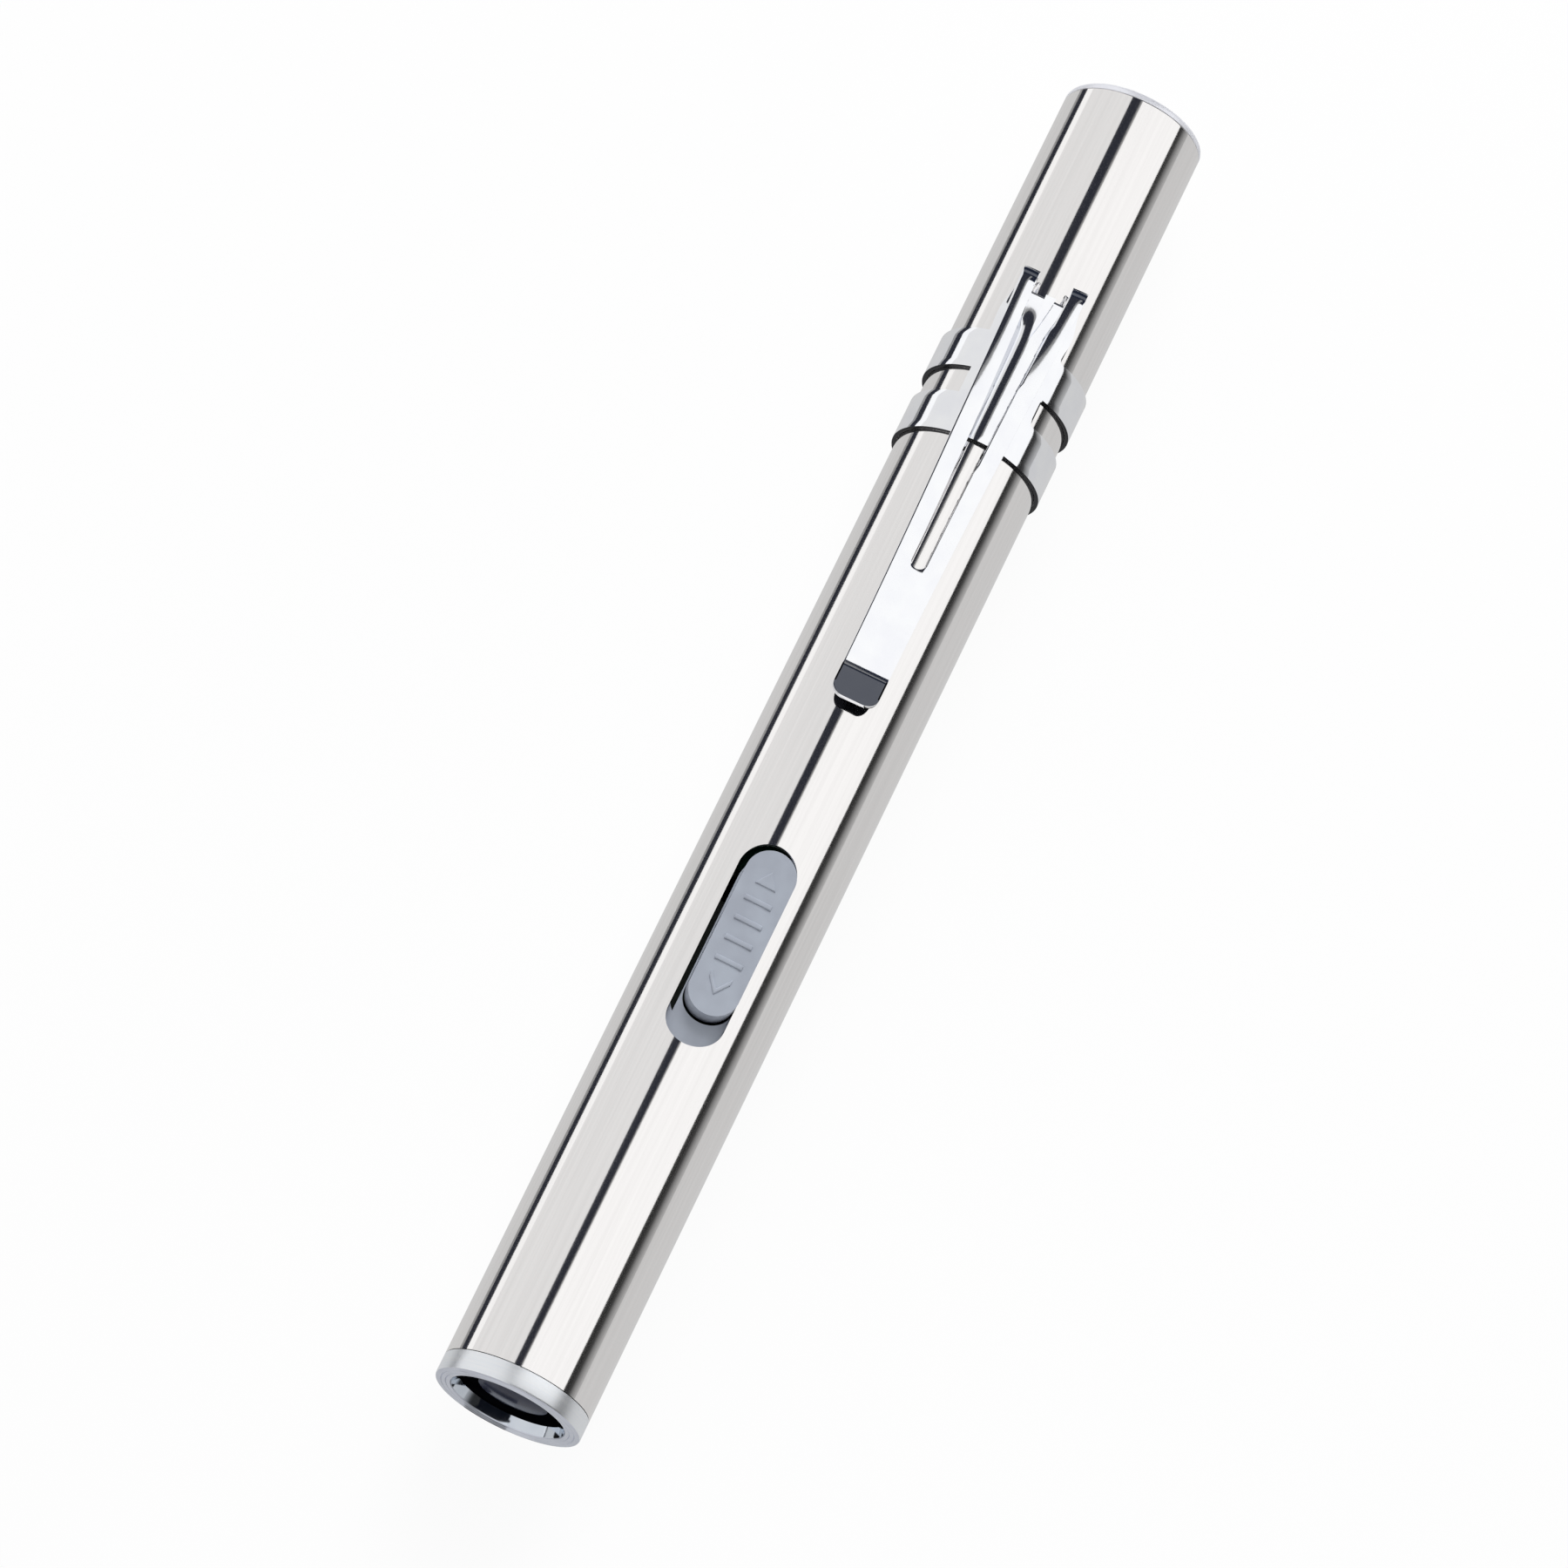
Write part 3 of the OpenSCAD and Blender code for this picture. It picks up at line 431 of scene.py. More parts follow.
# Turned profiles as (x, radius) stations
BEZEL_PROFILE = [(6.25, 5.85), (1.1, 5.85), (1.05, 5.2), (0.12, 5.5), (0.03, 5.56), (0.0, 5.65), (0.0, 5.9),
                 (0.07, 5.97), (0.0, 6.04), (0.0, 6.36), (0.07, 6.43), (0.0, 6.5), (0.0, 6.82), (0.05, 6.95),
                 (0.18, TUBE_R), (1.87, TUBE_R), (1.87, 6.45), (6.25, 6.45), (6.25, 5.85)]
BUSH_PROFILE = [(8.95, 5.0), (2.05, 5.0), (2.05, 3.4), (1.12, 3.4), (1.12, 5.8), (8.95, 5.8), (8.95, 5.0)]
BUSH_EDGE = 0.08
# The bezel's front face and its mouth end at these x, and the mouth's faces look inwards by more than this
BEZEL_FACE_END = 0.1
BEZEL_MOUTH_END = 1.1
INWARDS = -0.3
LENS_R = 3.35
LENS_RISE = 0.3
LENS_FRONT = 0.9
LENS_BODY = [(2.85, 4.95), (2.05, 4.95), (2.05, LENS_R)]
LENS_STEPS = 10
PLUG_PROFILE = [(CAP[1], 5.45), (135.25, 5.45), (135.25, 6.45), (139.27, 6.45), (139.27, 6.97),
                (139.31, TUBE_R), (139.62, TUBE_R), (139.82, 6.93), (139.95, 6.79), (TAIL_X, 6.6),
                (TAIL_X, 5.5)]


def make_barrel(finish):
    barrel = round_bar("barrel", *BARREL, TUBE_R, sides=TUBE_SIDES, ends="NOTHING")
    modify(barrel, "SOLIDIFY", thickness=(TUBE_R - BORE_R) * MM, offset=-1.0)
    cut(barrel, stadium_bar("slot_tool", SLOT_X, SLOT_X + SLOT_L, SLOT_W, *SLOT_TOOL))
    bevel(barrel, TUBE_EDGE)
    smooth(barrel)
    true_round(barrel, TUBE_R)
    coat(barrel, finish["tube"])
    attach(barrel, "barrel")
    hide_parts("barrel_tube")


def make_bezel(finish):
    bezel = turned("bezel", BEZEL_PROFILE)
    smooth(bezel)
    coat(bezel, finish["bezel"], finish["bezel_bore"], finish["bezel_face"])
    # Inward faces of the mouth take the diamond-cut finish, and the front takes the greyer one, which is
    # painted shade
    for face in bezel.data.polygons:
        out = Vector((0, face.center.y, face.center.z)).normalized()
        if face.normal.dot(out) < INWARDS and BEZEL_FACE_END * MM < face.center.x < BEZEL_MOUTH_END * MM:
            face.material_index = 1
        elif face.center.x < BEZEL_FACE_END * MM:
            face.material_index = 2
    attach(bezel, "barrel")
    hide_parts("bezel_ring")


def make_lens_end(finish):
    holder = turned("lens_bush", BUSH_PROFILE)
    bevel(holder, BUSH_EDGE)
    smooth(holder)
    coat(holder, finish["holder"])
    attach(holder, "barrel")
    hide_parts("lens_holder")
    dome_r = (LENS_R ** 2 + LENS_RISE ** 2) / (2 * LENS_RISE)
    turns = [asin(LENS_R / dome_r) * i / LENS_STEPS for i in range(LENS_STEPS, 0, -1)]
    dome = [(LENS_FRONT + dome_r * (1 - cos(a)), dome_r * sin(a)) for a in turns]
    lens = turned("lens_disc", LENS_BODY + dome, close=False, fill_start=True, fill_end=True)
    smooth(lens)
    coat(lens, finish["lens"])
    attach(lens, "barrel")
    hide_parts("lens")


def make_cap(finish):
    cap = turned("cap_skin", [(CAP[0], TUBE_R), (CAP[1], TUBE_R), (CAP[1], BORE_R), (CAP[0], BORE_R),
                              (CAP[0], TUBE_R)], sides=TUBE_SIDES)
    bevel(cap, TUBE_EDGE)
    smooth(cap)
    coat(cap, finish["tube"])
    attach(cap, "cap")
    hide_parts("cap_tube")
    tail = turned("tail_cap", PLUG_PROFILE, close=False, fill_start=True, fill_end=True)
    smooth(tail)
    coat(tail, finish["tail"])
    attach(tail, "cap")
    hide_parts("tail_plug")


# button

BUTTON_X = 38.17
BUTTON_L = 16.85
BUTTON_W = 4.8
BUTTON_FOOT = 5.7
BUTTON_TOP = 7.85
BUTTON_CROWN = 0.12
BUTTON_EDGE = 0.2
BUTTON_TURN = radians(3.0)
# The bar that crowns the button's top has this many sides and reaches past its ends by this
CROWN_SIDES = 1024
CROWN_PAST = 1
# The raised marks stand between these heights
MARK_HEIGHTS = (BUTTON_TOP - 0.2, BUTTON_TOP + 0.11)
MARK_EDGE = 0.1
RIBS = 4
RIB_MID = 46.6
RIB_PITCH = 2.1
RIB = [(-0.18, -1.35), (0.32, -1.35), (0.32, 1.35), (-0.18, 1.35)]
FULL_ARROW = [(4.8, -1.05), (6.4, 0), (4.8, 1.05)]
OPEN_ARROW = [(-6.5, 0), (-5.0, -1.05), (-4.4, -1.05), (-5.88, 0), (-4.4, 1.05), (-5.0, 1.05)]
# The curved flange under the tube wall. The bars that cut its groove are start, end, width, low and high.
FLANGE = (34.52, 59.12)
FLANGE_R = 6.35
FLANGE_T = 0.65
FLANGE_REACH = radians(42.5)
FLANGE_EDGE = 0.05
GROOVE = (36.6, 56.2, 6.8, 4.0, 7.0)
GROOVE_MIDDLE = (33.2, 55.45, 7.1, 3.0, 8.0)
GROOVE_SHIFT = 1.0
GROOVE_FRONT = (37.72, 50.0, 4.85, 5.0, 7.0)


def raised_mark(name, outline, x):
    """A raised mark on the button, its outline given from this x."""
    mark = plate(name, [(x + along, across) for along, across in outline], *MARK_HEIGHTS)
    bevel(mark, MARK_EDGE, 3)
    return mark


def make_flange():
    flange = round_bar("flange", *FLANGE, FLANGE_R, sides=TUBE_SIDES, ends="NOTHING")
    bpy.ops.object.mode_set(mode="EDIT")
    bpy.ops.mesh.select_all(action="DESELECT")
    bpy.ops.object.mode_set(mode="OBJECT")
    for vertex in flange.data.vertices:
        vertex.select = abs(atan2(vertex.co.y, vertex.co.z)) > FLANGE_REACH
    bpy.ops.object.mode_set(mode="EDIT")
    bpy.ops.mesh.delete(type="VERT")
    bpy.ops.object.mode_set(mode="OBJECT")
    modify(flange, "SOLIDIFY", thickness=FLANGE_T * MM, offset=-1.0)
    groove = stadium_bar("groove_tool", *GROOVE)
    middle = stadium_bar("groove_mid", *GROOVE_MIDDLE)
    for vertex in middle.data.vertices:
        vertex.co.y -= GROOVE_SHIFT * MM
    cut(groove, middle)
    cut(flange, groove)
    cut(flange, stadium_bar("groove_front", *GROOVE_FRONT))
    bevel(flange, FLANGE_EDGE, 1)
    return flange


def make_button(finish):
    body = stadium_bar("button", BUTTON_X, BUTTON_X + BUTTON_L, BUTTON_W, BUTTON_FOOT, BUTTON_TOP)
    crown_r = ((BUTTON_W / 2) ** 2 + BUTTON_CROWN ** 2) / (2 * BUTTON_CROWN)
    crown = round_bar("crown_tool", BUTTON_X - CROWN_PAST, BUTTON_X + BUTTON_L + CROWN_PAST, crown_r,
                      sides=CROWN_SIDES)
    for vertex in crown.data.vertices:
        vertex.co.z += (BUTTON_TOP - crown_r) * MM
    cut(body, crown, "INTERSECT")
    bevel(body, BUTTON_EDGE, 4, angle=50)
    marks = [raised_mark("rib", RIB, RIB_MID + (i - (RIBS - 1) / 2) * RIB_PITCH) for i in range(RIBS)]
    marks.append(raised_mark("arrow", FULL_ARROW, RIB_MID))
    marks.append(raised_mark("arrow", OPEN_ARROW, RIB_MID))
    flange = make_flange()
    button = join("button", body, flange, *marks)
    smooth(button)
    button.data.transform(Matrix.Rotation(BUTTON_TURN, 4, "X"))
    coat(button, finish["button"])
    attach(button, "slider")
    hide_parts("slide_button")


# clip

# The strip lies flat along s, its length, and y. x and z are its places once it is formed.
CLIP_T = 0.4
CLIP_MID_R = 7.24
RINGS = ((99.97, 104.17), (107.0, 111.2))
RING_REACH = 21.48
SPINE_HALF = 3.71
SPINE_FLAT = (111.5, 115.7)
SPINE_TAPER = 113.2
# The spine leans by this slope towards +Y. The lean ends at the top's y on one side and at minus the foot's y
# on the other, and eases out there within these widths.
LEAN = 0.045
LEAN_TOP = 1.7
LEAN_TOP_EASE = 0.6
LEAN_FOOT = 3.6
LEAN_FOOT_EASE = 1.9
# A soft crease between these places across the spine adds this slope. Lean and crease fade out along it.
CREASE = (0.15, 0.65)
CREASE_SLOPE = 0.06
LEAN_FADE = (109.5, 115.3)
CREASE_FADE = (112.9, 114.9)
SLIT_START = 116.15
FOLD_X, FOLD_Z, FOLD_R = 116.27, 7.92, 0.7
FOLD_REACH = 1.6
BEND_X, BEND_Z, BEND_R = 74.67, 7.28, 3.6
FLARE_L, FLARE_RISE = 3.6, 1.1
ARM_ROOT_HALF, ARM_TIP_HALF = 3.225, 2.25
TIP_CORNER = 1.3
SLIT_ROOT_HALF, SLIT_END_R, SLIT_END_X = 1.675, 0.75, 86.42
# The arm and its slit widen towards the fold by this power of the way
WIDENING = 1.6
# Each leg's lean towards +Y and the tilt of its edges at the fold, in radians, and where they start and end
LEG_FORM = {1: (0.036, 0.127, 98.0, 118.0), -1: (0.063, 0.096, 103.0, 117.0)}

# Less curved than this, per millimetre, the spine is bent as a parabola
LEAST_BEND = 0.002
# The blank's rows between its stations, its columns, and the steps round each ring
ROWS = {"ring": 6, "gap": 4, "foot": 14, "fold": 20, "arm": 44, "bend": 12, "flare": 4, "tip": 12}
COLUMNS = 28
RING_STEPS = 36
# Points nearer than this to an edge of the blank are on it
NEAR = 0.01
# The tools that cut the slit: how far past the fold they reach, and their heights
SLIT_PAST = 2.5
SLIT_TOOL = (FOLD_Z + 0.2, FOLD_Z + 1.6)
SLIT_STEPS = 16
SLIT_END_STEPS = 8
FOLD_TOOL = (6.0, 10.0)
FOLD_TOOL_PAST = 2
CLIP_EDGE = 0.07
# Faces whose normal's x, or z on the flare, is below these take the painted shade, within these bands
AHEAD = -0.95
DOWN = -0.3
EDGE_BAND = 0.3
SIDE_BAND = 0.16

ARM_SLOPE = atan2(FOLD_Z + FOLD_R - BEND_Z, FOLD_X - BEND_X)
BEND_TURN = ARM_SLOPE + atan2(FLARE_RISE, FLARE_L)
BEND_CUT = BEND_R * tan(BEND_TURN / 2)
FOLD_TURN = pi + atan2(FOLD_REACH * tan(ARM_SLOPE), FOLD_R)
FOLD_END = FOLD_X + FOLD_R * FOLD_TURN
ARM_END = FOLD_END + hypot(FOLD_X - BEND_X, FOLD_Z + FOLD_R - BEND_Z) - BEND_CUT
BEND_END = ARM_END + BEND_R * BEND_TURN
TIP_END = BEND_END + hypot(FLARE_L, FLARE_RISE) - BEND_CUT


def eased(share):
    """0 to 1 with a soft start and end."""
    share = min(max(share, 0.0), 1.0)
    return share * share * (3 - 2 * share)


def clip_path(s):
    """The middle of the folded strip at length s: its (x, z) and the direction it faces."""
    if s <= FOLD_X:
        return Vector((s, CLIP_MID_R)), Vector((0, -1))
    if s <= FOLD_END:
        turn = (s - FOLD_X) / FOLD_R - pi / 2
        place = Vector((FOLD_X + FOLD_REACH * cos(turn), FOLD_Z + FOLD_R * sin(turn)))
        return place, Vector((FOLD_R * cos(turn), FOLD_REACH * sin(turn))).normalized()
    start, face = clip_path(FOLD_END)
    ahead = Vector((-face.y, face.x))
    if s <= ARM_END:
        return start + (s - FOLD_END) * ahead, face
    start = start + (ARM_END - FOLD_END) * ahead
    turn = min((s - ARM_END) / BEND_R, BEND_TURN)
    hub = start + BEND_R * face
    now = Vector((face.x * cos(turn) + face.y * sin(turn), face.y * cos(turn) - face.x * sin(turn)))
    place = hub - BEND_R * now
    if s > BEND_END:
        place += (s - BEND_END) * Vector((-now.y, now.x))
    return place, now


def taper(x, far_x):
    """How far the arm or its slit has widened here, from 0 at far_x to 1 at the fold."""
    return max((x - far_x) / (FOLD_X - far_x), 0.0) ** WIDENING


def slit_half(x):
    """Half of the slit's width at this x."""
    return SLIT_END_R + (SLIT_ROOT_HALF - SLIT_END_R) * taper(x, SLIT_END_X)


def strip_half(s):
    """Half of the strip's width at length s."""
    if s <= FOLD_X:
        return SPINE_HALF + (ARM_ROOT_HALF - SPINE_HALF) * eased((s - SPINE_TAPER) / (FOLD_X - SPINE_TAPER))
    if s <= FOLD_END:
        return ARM_ROOT_HALF
    left = max(TIP_END - s, 0)
    half = ARM_TIP_HALF + (ARM_ROOT_HALF - ARM_TIP_HALF) * taper(clip_path(s)[0].x, BEND_X)
    if left < TIP_CORNER:
        half += sqrt(TIP_CORNER ** 2 - (TIP_CORNER - left) ** 2) - TIP_CORNER
    return half


def leg_form(s, y):
    """How far the leg's surface drops here, as each leg leans a little and is crowned across."""
    side = 1 if y > 0 else -1
    lean, tilt, start, end = LEG_FORM[side]
    x = clip_path(s)[0].x
    grown = eased((x - start) / (end - start))
    if s < FOLD_END:
        grown *= eased((s - FOLD_X) / (FOLD_END - FOLD_X))
    inner = slit_half(x)
    outer = strip_half(s)
    across = y - side * (outer + inner) / 2
    return grown * (lean * across + tilt * across ** 2 / (outer - inner))


def faded(s, fade):
    """1 before this stretch of the strip and 0 after it."""
    return 1 - eased((s - fade[0]) / (fade[1] - fade[0]))


def spine_lean(s, y):
    """How far the spine's middle, which leans a little towards +Y, stands off the tube."""
    start, end = CREASE
    past = min(max(y - start, 0.0), end - start)
    crease = CREASE_SLOPE * (past ** 2 / (2 * (end - start)) + max(y - end, 0.0)) * faded(s, CREASE_FADE)
    lean = LEAN * (LEAN_TOP - y) * faded(s, LEAN_FADE)
    sides = eased((LEAN_TOP - y) / LEAN_TOP_EASE) * eased((LEAN_FOOT + y) / LEAN_FOOT_EASE)
    return (lean - crease) * sides


def form_clip(piece):
    """Forms the flat blank: rings and spine round the tube, the fold, the arm, the bend and the flare."""
    for vertex in piece.data.vertices:
        s, y = vertex.co.x / MM, vertex.co.y / MM
        place, face = clip_path(s)
        if s <= FOLD_X:
            bend = faded(s, SPINE_FLAT) / CLIP_MID_R
            lean = spine_lean(s, y)
            if bend > LEAST_BEND:
                y, drop = sin(bend * y) / bend, (1 - cos(bend * y)) / bend
            else:
                drop = bend * y * y / 2
            place = place + (drop - lean) * face
        else:
            place = place - leg_form(s, y) * face
        vertex.co = (place.x * MM, y * MM, place.y * MM)


def spread(a, b, n):
    """Steps from a up to b, without b."""
    return [a + (b - a) * i / n for i in range(n)]


def clip_blank():
    """The flat blank of the clip, before its slit is cut: x is the length along it."""
    turns = [pi / 2 * i / ROWS["tip"] for i in range(ROWS["tip"] + 1)]
    stations = (spread(*RINGS[0], ROWS["ring"]) + spread(RINGS[0][1], RINGS[1][0], ROWS["gap"])
                + spread(*RINGS[1], ROWS["ring"]) + spread(RINGS[1][1], FOLD_X, ROWS["foot"])
                + spread(FOLD_X, FOLD_END, ROWS["fold"]) + spread(FOLD_END, ARM_END, ROWS["arm"])
                + spread(ARM_END, BEND_END, ROWS["bend"])
                + spread(BEND_END, TIP_END - TIP_CORNER, ROWS["flare"])
                + [TIP_END - TIP_CORNER * (1 - sin(turn)) for turn in turns])
    rows = len(stations) - 1
    clear()
    bpy.ops.mesh.primitive_grid_add(x_subdivisions=rows, y_subdivisions=COLUMNS, size=1)
    blank = fresh("clip")
    for vertex in blank.data.vertices:
        s = stations[round((vertex.co.x + 0.5) * rows)]
        vertex.co = (s * MM, 2 * vertex.co.y * strip_half(s) * MM, 0)
    for side in (-1, 1):
        for ring in RINGS:
            only(blank)
            bpy.ops.object.mode_set(mode="EDIT")
            bpy.ops.mesh.select_all(action="DESELECT")
            bpy.ops.mesh.select_mode(type="EDGE")
            bpy.ops.object.mode_set(mode="OBJECT")
            for edge in blank.data.edges:
                ends = [blank.data.vertices[i].co / MM for i in edge.vertices]
                edge.select = all(side * end.y > SPINE_HALF - NEAR and ring[0] - NEAR < end.x < ring[1] + NEAR
                                  for end in ends)
            bpy.ops.object.mode_set(mode="EDIT")
            step = (0, side * (RING_REACH - SPINE_HALF) / RING_STEPS * MM, 0)
            for _ in range(RING_STEPS):
                bpy.ops.mesh.extrude_edges_move(TRANSFORM_OT_translate={"value": step})
            bpy.ops.mesh.select_mode(type="VERT")
            bpy.ops.object.mode_set(mode="OBJECT")
    return blank


def slit_tool():
    """The slit seen from above: round at its end, widening to the fold. It leans as the arm does."""
    xs = [SLIT_END_X + (FOLD_X + SLIT_PAST - SLIT_END_X) * i / SLIT_STEPS for i in range(SLIT_STEPS + 1)]
    turns = [pi / 2 * i / SLIT_END_STEPS for i in range(SLIT_END_STEPS)]
    half = [(SLIT_END_X - SLIT_END_R * cos(turn), SLIT_END_R * sin(turn)) for turn in turns]
    half += [(x, slit_half(x)) for x in xs]
    tool = plate("slit_tool", half + [(x, -y) for x, y in reversed(half[1:])], *SLIT_TOOL)
    pivot = Matrix.Translation((FOLD_X * MM, 0, (FOLD_Z + FOLD_R) * MM))
    tool.data.transform(pivot @ Matrix.Rotation(-ARM_SLOPE, 4, "Y") @ pivot.inverted())
    return tool


def make_clip(finish):
    clip = clip_blank()
    form_clip(clip)
    modify(clip, "SOLIDIFY", thickness=CLIP_T * MM, offset=0.0)
    cut(clip, slit_tool())
    root, end = SLIT_ROOT_HALF, FOLD_X + FOLD_TOOL_PAST
    corners = [(SLIT_START, -root), (end, -root), (end, root), (SLIT_START, root)]
    cut(clip, plate("fold_tool", corners, *FOLD_TOOL))
    only(clip)
    bpy.ops.object.mode_set(mode="EDIT")
    bpy.ops.mesh.select_all(action="SELECT")
    bpy.ops.mesh.normals_make_consistent(inside=False)
    bpy.ops.object.mode_set(mode="OBJECT")
    bevel(clip, CLIP_EDGE, angle=50)
    smooth(clip)
    coat(clip, finish["clip"], finish["clip_painted_shade"])
    # Painted shade: the front edges near the tube and the flare's underside and side edges take the dark
    # second finish
    for face in clip.data.polygons:
        x, y, z = face.center / MM
        front = face.normal.x < AHEAD and hypot(y, z) < CLIP_MID_R + EDGE_BAND and x < SPINE_FLAT[0]
        flare = x < BEND_X - EDGE_BAND and z > CLIP_MID_R
        side = abs(y) > ARM_TIP_HALF - SIDE_BAND and x > BEND_X - FLARE_L + TIP_CORNER
        face.material_index = int(front or (flare and (side or face.normal.z < DOWN)))
    # At the fold the one piece passes from the cap to the arm
    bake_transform(clip)
    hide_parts("clip_saddle", "clip_arm")


# carried-over nodes

CARRIED = {
    "lens_gasket": "gasket", "reflector": "reflector", "led_emitter": "phosphor", "led_board": "led_board",
    "heat_sink": "bare_aluminium", "led_wires": "red_silicone", "chassis": "chassis",
    "circuit_board": "solder_mask", "charge_chip": "epoxy", "driver_chip": "epoxy",
    "chip_passives": "ceramic", "switch_body": "tinned_steel", "switch_lever": "epoxy",
    "battery_cell": "nickel", "cell_sleeve": "sleeve", "cell_tabs": "nickel",
    "power_leads": "red_silicone", "plug_base": "neck", "neck_oring": "oring",
    "usb_shell": "nickel", "usb_tongue": "tongue", "usb_contacts": "gold",
}


def coat_carried(finish):
    for name, look in CARRIED.items():
        coat(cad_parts[name], finish[look])
        smooth(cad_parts[name], 30)


# studio

LIGHT_LEVEL = 0.65
# How much of the background's white the floor shows to the camera, the rest being its shaded paper
FLOOR_WHITE = 0.93
# Floor and lamp, in metres and watts. The lamp's light comes from this direction.
FLOOR_SIZE = 3.0
FLOOR_MIDDLE = 0.07
LAMP_AT = (0.9, 0.1, 0.6)
LAMP_FROM = (0.85, 0.1, 0.6)
LAMP_POWER = 8.0
LAMP_SIZE = 0.6
# The cards' places are in millimetres, and their tones are the linear light that a reflection shows
FAR_X = (-1500.0, 2000.0)
STRIP_X = (-300, 1500)
DARK = (0.026, 0.028, 0.038)
OVERHEAD_Y = ((178, 10), (222, 435))
OVERHEAD_Z = 900
OVERHEAD_EDGE_Y = ((178, -70), (222, 12))
OVERHEAD_EDGE_Z = 901
OVERHEAD_EDGE_TONE = 0.25
WALL_R = 1150
WALL_TURNS = (12, 24, 37, 50, 63, 76, 90.3)
WALL_TONE = 0.79
# On the floor at the +Y side: each card's name, tone, inner and outer y, and z. The greys nearer the tube
# than the strip are painted shadow of the light on the floor.
LEFT_CARDS = (("left_strip", DARK, 32, 62, -7.1), ("left_shade", 0.30, 26, 32, -7.15),
              ("left_floor_shadow", 0.62, 0, 26, -7.2))
# At the -Y side: the dark strip, and the top of each band below it with its tone
RIGHT_Y = -1000
RIGHT_STRIP = [(-1500, RIGHT_Y, 907), (970, RIGHT_Y, 302), (-1500, RIGHT_Y, 300), (970, RIGHT_Y, 300)]
RIGHT_STRIP_TONE = 0.03
RIGHT_BANDS = [(300, 0.05), (235, 0.10), (194, 0.17), (155, 0.24), (110, 0.31), (60, 0.39)]
RIGHT_FOOT = -7
RIGHT_FLOOR_TONE = 0.61
RIGHT_FLOOR_Z = -7.2
SHADE_X = (-1.6, 0.0)
SHADE_Y = (-0.6, 3.6)
SHADE_Z = -7.1
SHADE_TONE = 0.004
# Beyond the tail: x, lowest and highest z, and tone of the card and of its window
TAIL_CARDS = ((1000, -7, 1500, (0.014, 0.018, 0.032)), (999, 440, 730, (0.103, 0.109, 0.127)))
TAIL_CARD_HALF = 420
CAMERA_DARK = [(-600, 276, 961), (-600, -883, 469), (-600, 1240, 4325), (-600, -3970, 2110)]
CAMERA_DARK_TONE = (0.004, 0.005, 0.008)


def finish_card(piece, tone):
    """Gives a card its even tone, and hides it from all but reflections."""
    paper = bpy.data.materials.new(piece.name)
    paper.use_nodes = True
    tree = paper.node_tree
    colour = (*tone, 1) if isinstance(tone, tuple) else (tone, tone, tone, 1)
    glow = add(tree, "ShaderNodeEmission", {"Color": colour, "Strength": 1.0})
    tree.links.new(glow.outputs["Emission"], tree.nodes["Material Output"].inputs["Surface"])
    coat(piece, paper)
    for ray in ("camera", "diffuse", "transmission", "volume_scatter", "shadow"):
        setattr(piece, "visible_" + ray, False)


def card(name, tone, corners, shades=False):
    """A plain card beside the object that only its reflections show, as in a photographer's light tent.
    Its corners are in millimetres."""
    clear()
    bpy.ops.mesh.primitive_plane_add(size=1)
    piece = fresh(name)
    for vertex, corner in zip(piece.data.vertices, corners):
        vertex.co = Vector(corner) * MM
    finish_card(piece, tone)
    piece.visible_diffuse = shades


def long_card(name, tone, a, b):
    """A card along the whole tube between the lines (y, z) a and b."""
    card(name, tone, [(x, *end) for end in (a, b) for x in FAR_X])


def overhead(name, tone, across, z):
    """A strip above the tube, whose edges run between the ys given at its two ends."""
    card(name, tone, [(x, y, z) for ys in across for x, y in zip(STRIP_X, ys)])


def add_cards():
    # The dark strip overhead that makes the middle line, wider towards the tail, and its soft side
    overhead("overhead_strip", DARK, OVERHEAD_Y, OVERHEAD_Z)
    overhead("overhead_edge", OVERHEAD_EDGE_TONE, OVERHEAD_EDGE_Y, OVERHEAD_EDGE_Z)
    # Pale grey panel on the +Y side, as a round wall
    wall = [(WALL_R * sin(radians(a)), WALL_R * cos(radians(a))) for a in WALL_TURNS]
    for a, b in zip(wall, wall[1:]):
        long_card("left_wall", WALL_TONE, a, b)
    # On the floor at the +Y side: the dark line's strip, and greys between it and the tube, which are painted
    # shadow of the light on the floor
    for name, tone, inner, outer, z in LEFT_CARDS:
        long_card(name, tone, (inner, z), (outer, z))
    # On the -Y side: the dark line's strip, which fades downwards, and the grey floor
    card("right_strip", RIGHT_STRIP_TONE, RIGHT_STRIP)
    lows = [top for top, _ in RIGHT_BANDS[1:]] + [RIGHT_FOOT]
    for (top, tone), low in zip(RIGHT_BANDS, lows):
        long_card("right_strip", tone, (RIGHT_Y, top), (RIGHT_Y, low))
    long_card("right_floor", RIGHT_FLOOR_TONE, (RIGHT_Y, RIGHT_FLOOR_Z), (0, RIGHT_FLOOR_Z))
    # On the floor before the mouth: the pocket light's own shade, which the low edge of its face shows
    card("mouth_shade", SHADE_TONE, [(x, y, SHADE_Z) for x in SHADE_X for y in SHADE_Y])
    # Beyond the tail: a tall dark card with a dim window in it
    for x, low, high, tone in TAIL_CARDS:
        card("tail_card", tone, [(x, y, z) for z in (low, high) for y in (-TAIL_CARD_HALF, TAIL_CARD_HALF)])
    # Behind the camera: the dark side of the studio
    card("camera_dark", CAMERA_DARK_TONE, CAMERA_DARK, shades=True)


def white_to_sight(tree):
    """1 for rays from the camera and in reflections and clear plastic, which see the white background."""
    rays = add(tree, "ShaderNodeLightPath").outputs
    both = add(tree, "ShaderNodeMath", None, {0: rays["Is Camera Ray"], 1: rays["Is Glossy Ray"]},
               operation="ADD")
    return add(tree, "ShaderNodeMath", None, {0: both.outputs[0], 1: rays["Is Transmission Ray"]},
               operation="ADD", use_clamp=True).outputs[0]


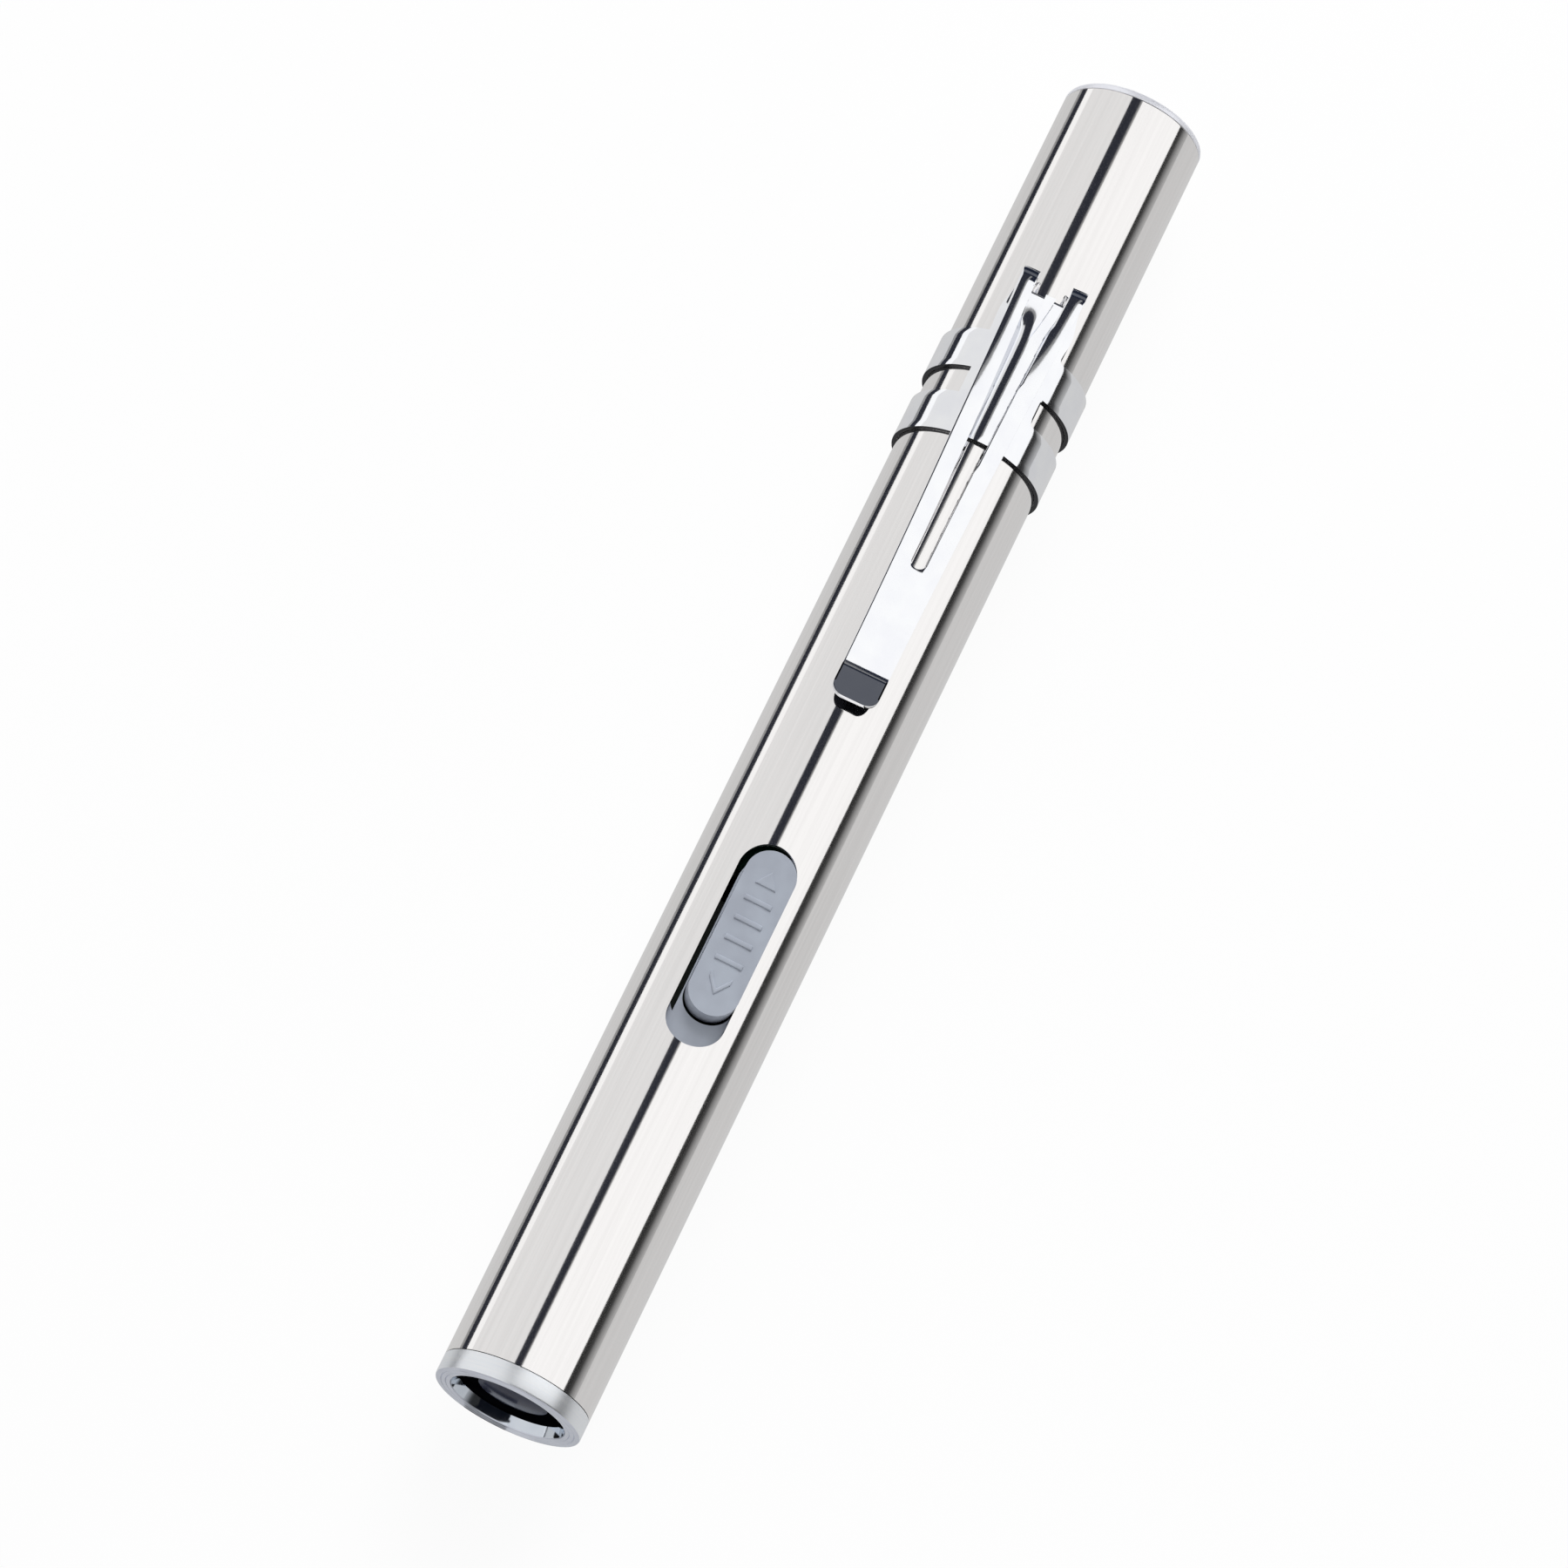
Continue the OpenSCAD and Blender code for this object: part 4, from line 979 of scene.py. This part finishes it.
def build_studio():
    world = bpy.data.worlds.new("studio")
    bpy.context.scene.world = world
    world.use_nodes = True
    tree = world.node_tree
    tree.nodes.clear()
    level = (LIGHT_LEVEL, LIGHT_LEVEL, LIGHT_LEVEL, 1)
    seen = add(tree, "ShaderNodeMix", {6: level, 7: (1, 1, 1, 1)}, {0: white_to_sight(tree)},
               data_type="RGBA")
    shade = add(tree, "ShaderNodeBackground", {"Strength": 1.0}, {"Color": seen.outputs[2]})
    add(tree, "ShaderNodeOutputWorld", None, {"Surface": shade.outputs["Background"]})

    clear()
    bpy.ops.mesh.primitive_plane_add(size=FLOOR_SIZE,
                                     location=(FLOOR_MIDDLE, 0, -(CLIP_MID_R + CLIP_T / 2) * MM))
    floor = fresh("floor")
    paper = bpy.data.materials.new("white_card")
    paper.use_nodes = True
    tree = paper.node_tree
    surface = tree.nodes["Principled BSDF"]
    surface.inputs["Base Color"].default_value = linear("#F2F2F3")
    surface.inputs["Roughness"].default_value = 0.9
    glow = add(tree, "ShaderNodeEmission", {"Color": (1, 1, 1, 1), "Strength": 1.0})
    share = add(tree, "ShaderNodeMath", {1: FLOOR_WHITE}, {0: white_to_sight(tree)}, operation="MULTIPLY")
    both = add(tree, "ShaderNodeMixShader", None,
               {0: share.outputs[0], 1: surface.outputs["BSDF"], 2: glow.outputs["Emission"]})
    tree.links.new(both.outputs["Shader"], tree.nodes["Material Output"].inputs["Surface"])
    coat(floor, paper)
    add_cards()

    soft = bpy.data.lights.new("soft_light", "AREA")
    soft.energy = LAMP_POWER
    soft.size = LAMP_SIZE
    lamp = bpy.data.objects.new("soft_light", soft)
    bpy.context.scene.collection.objects.link(lamp)
    aim = Vector(LAMP_FROM).to_track_quat("Z", "Y").to_matrix().to_4x4()
    lamp.matrix_world = Matrix.Translation(LAMP_AT) @ aim
    lamp.visible_glossy = False
    lamp.visible_camera = False


def build():
    add_camera()
    finish = finishes()
    make_barrel(finish)
    make_bezel(finish)
    make_lens_end(finish)
    make_cap(finish)
    make_button(finish)
    make_clip(finish)
    coat_carried(finish)
    build_studio()
    bpy.context.scene.view_settings.view_transform = "Standard"


build()
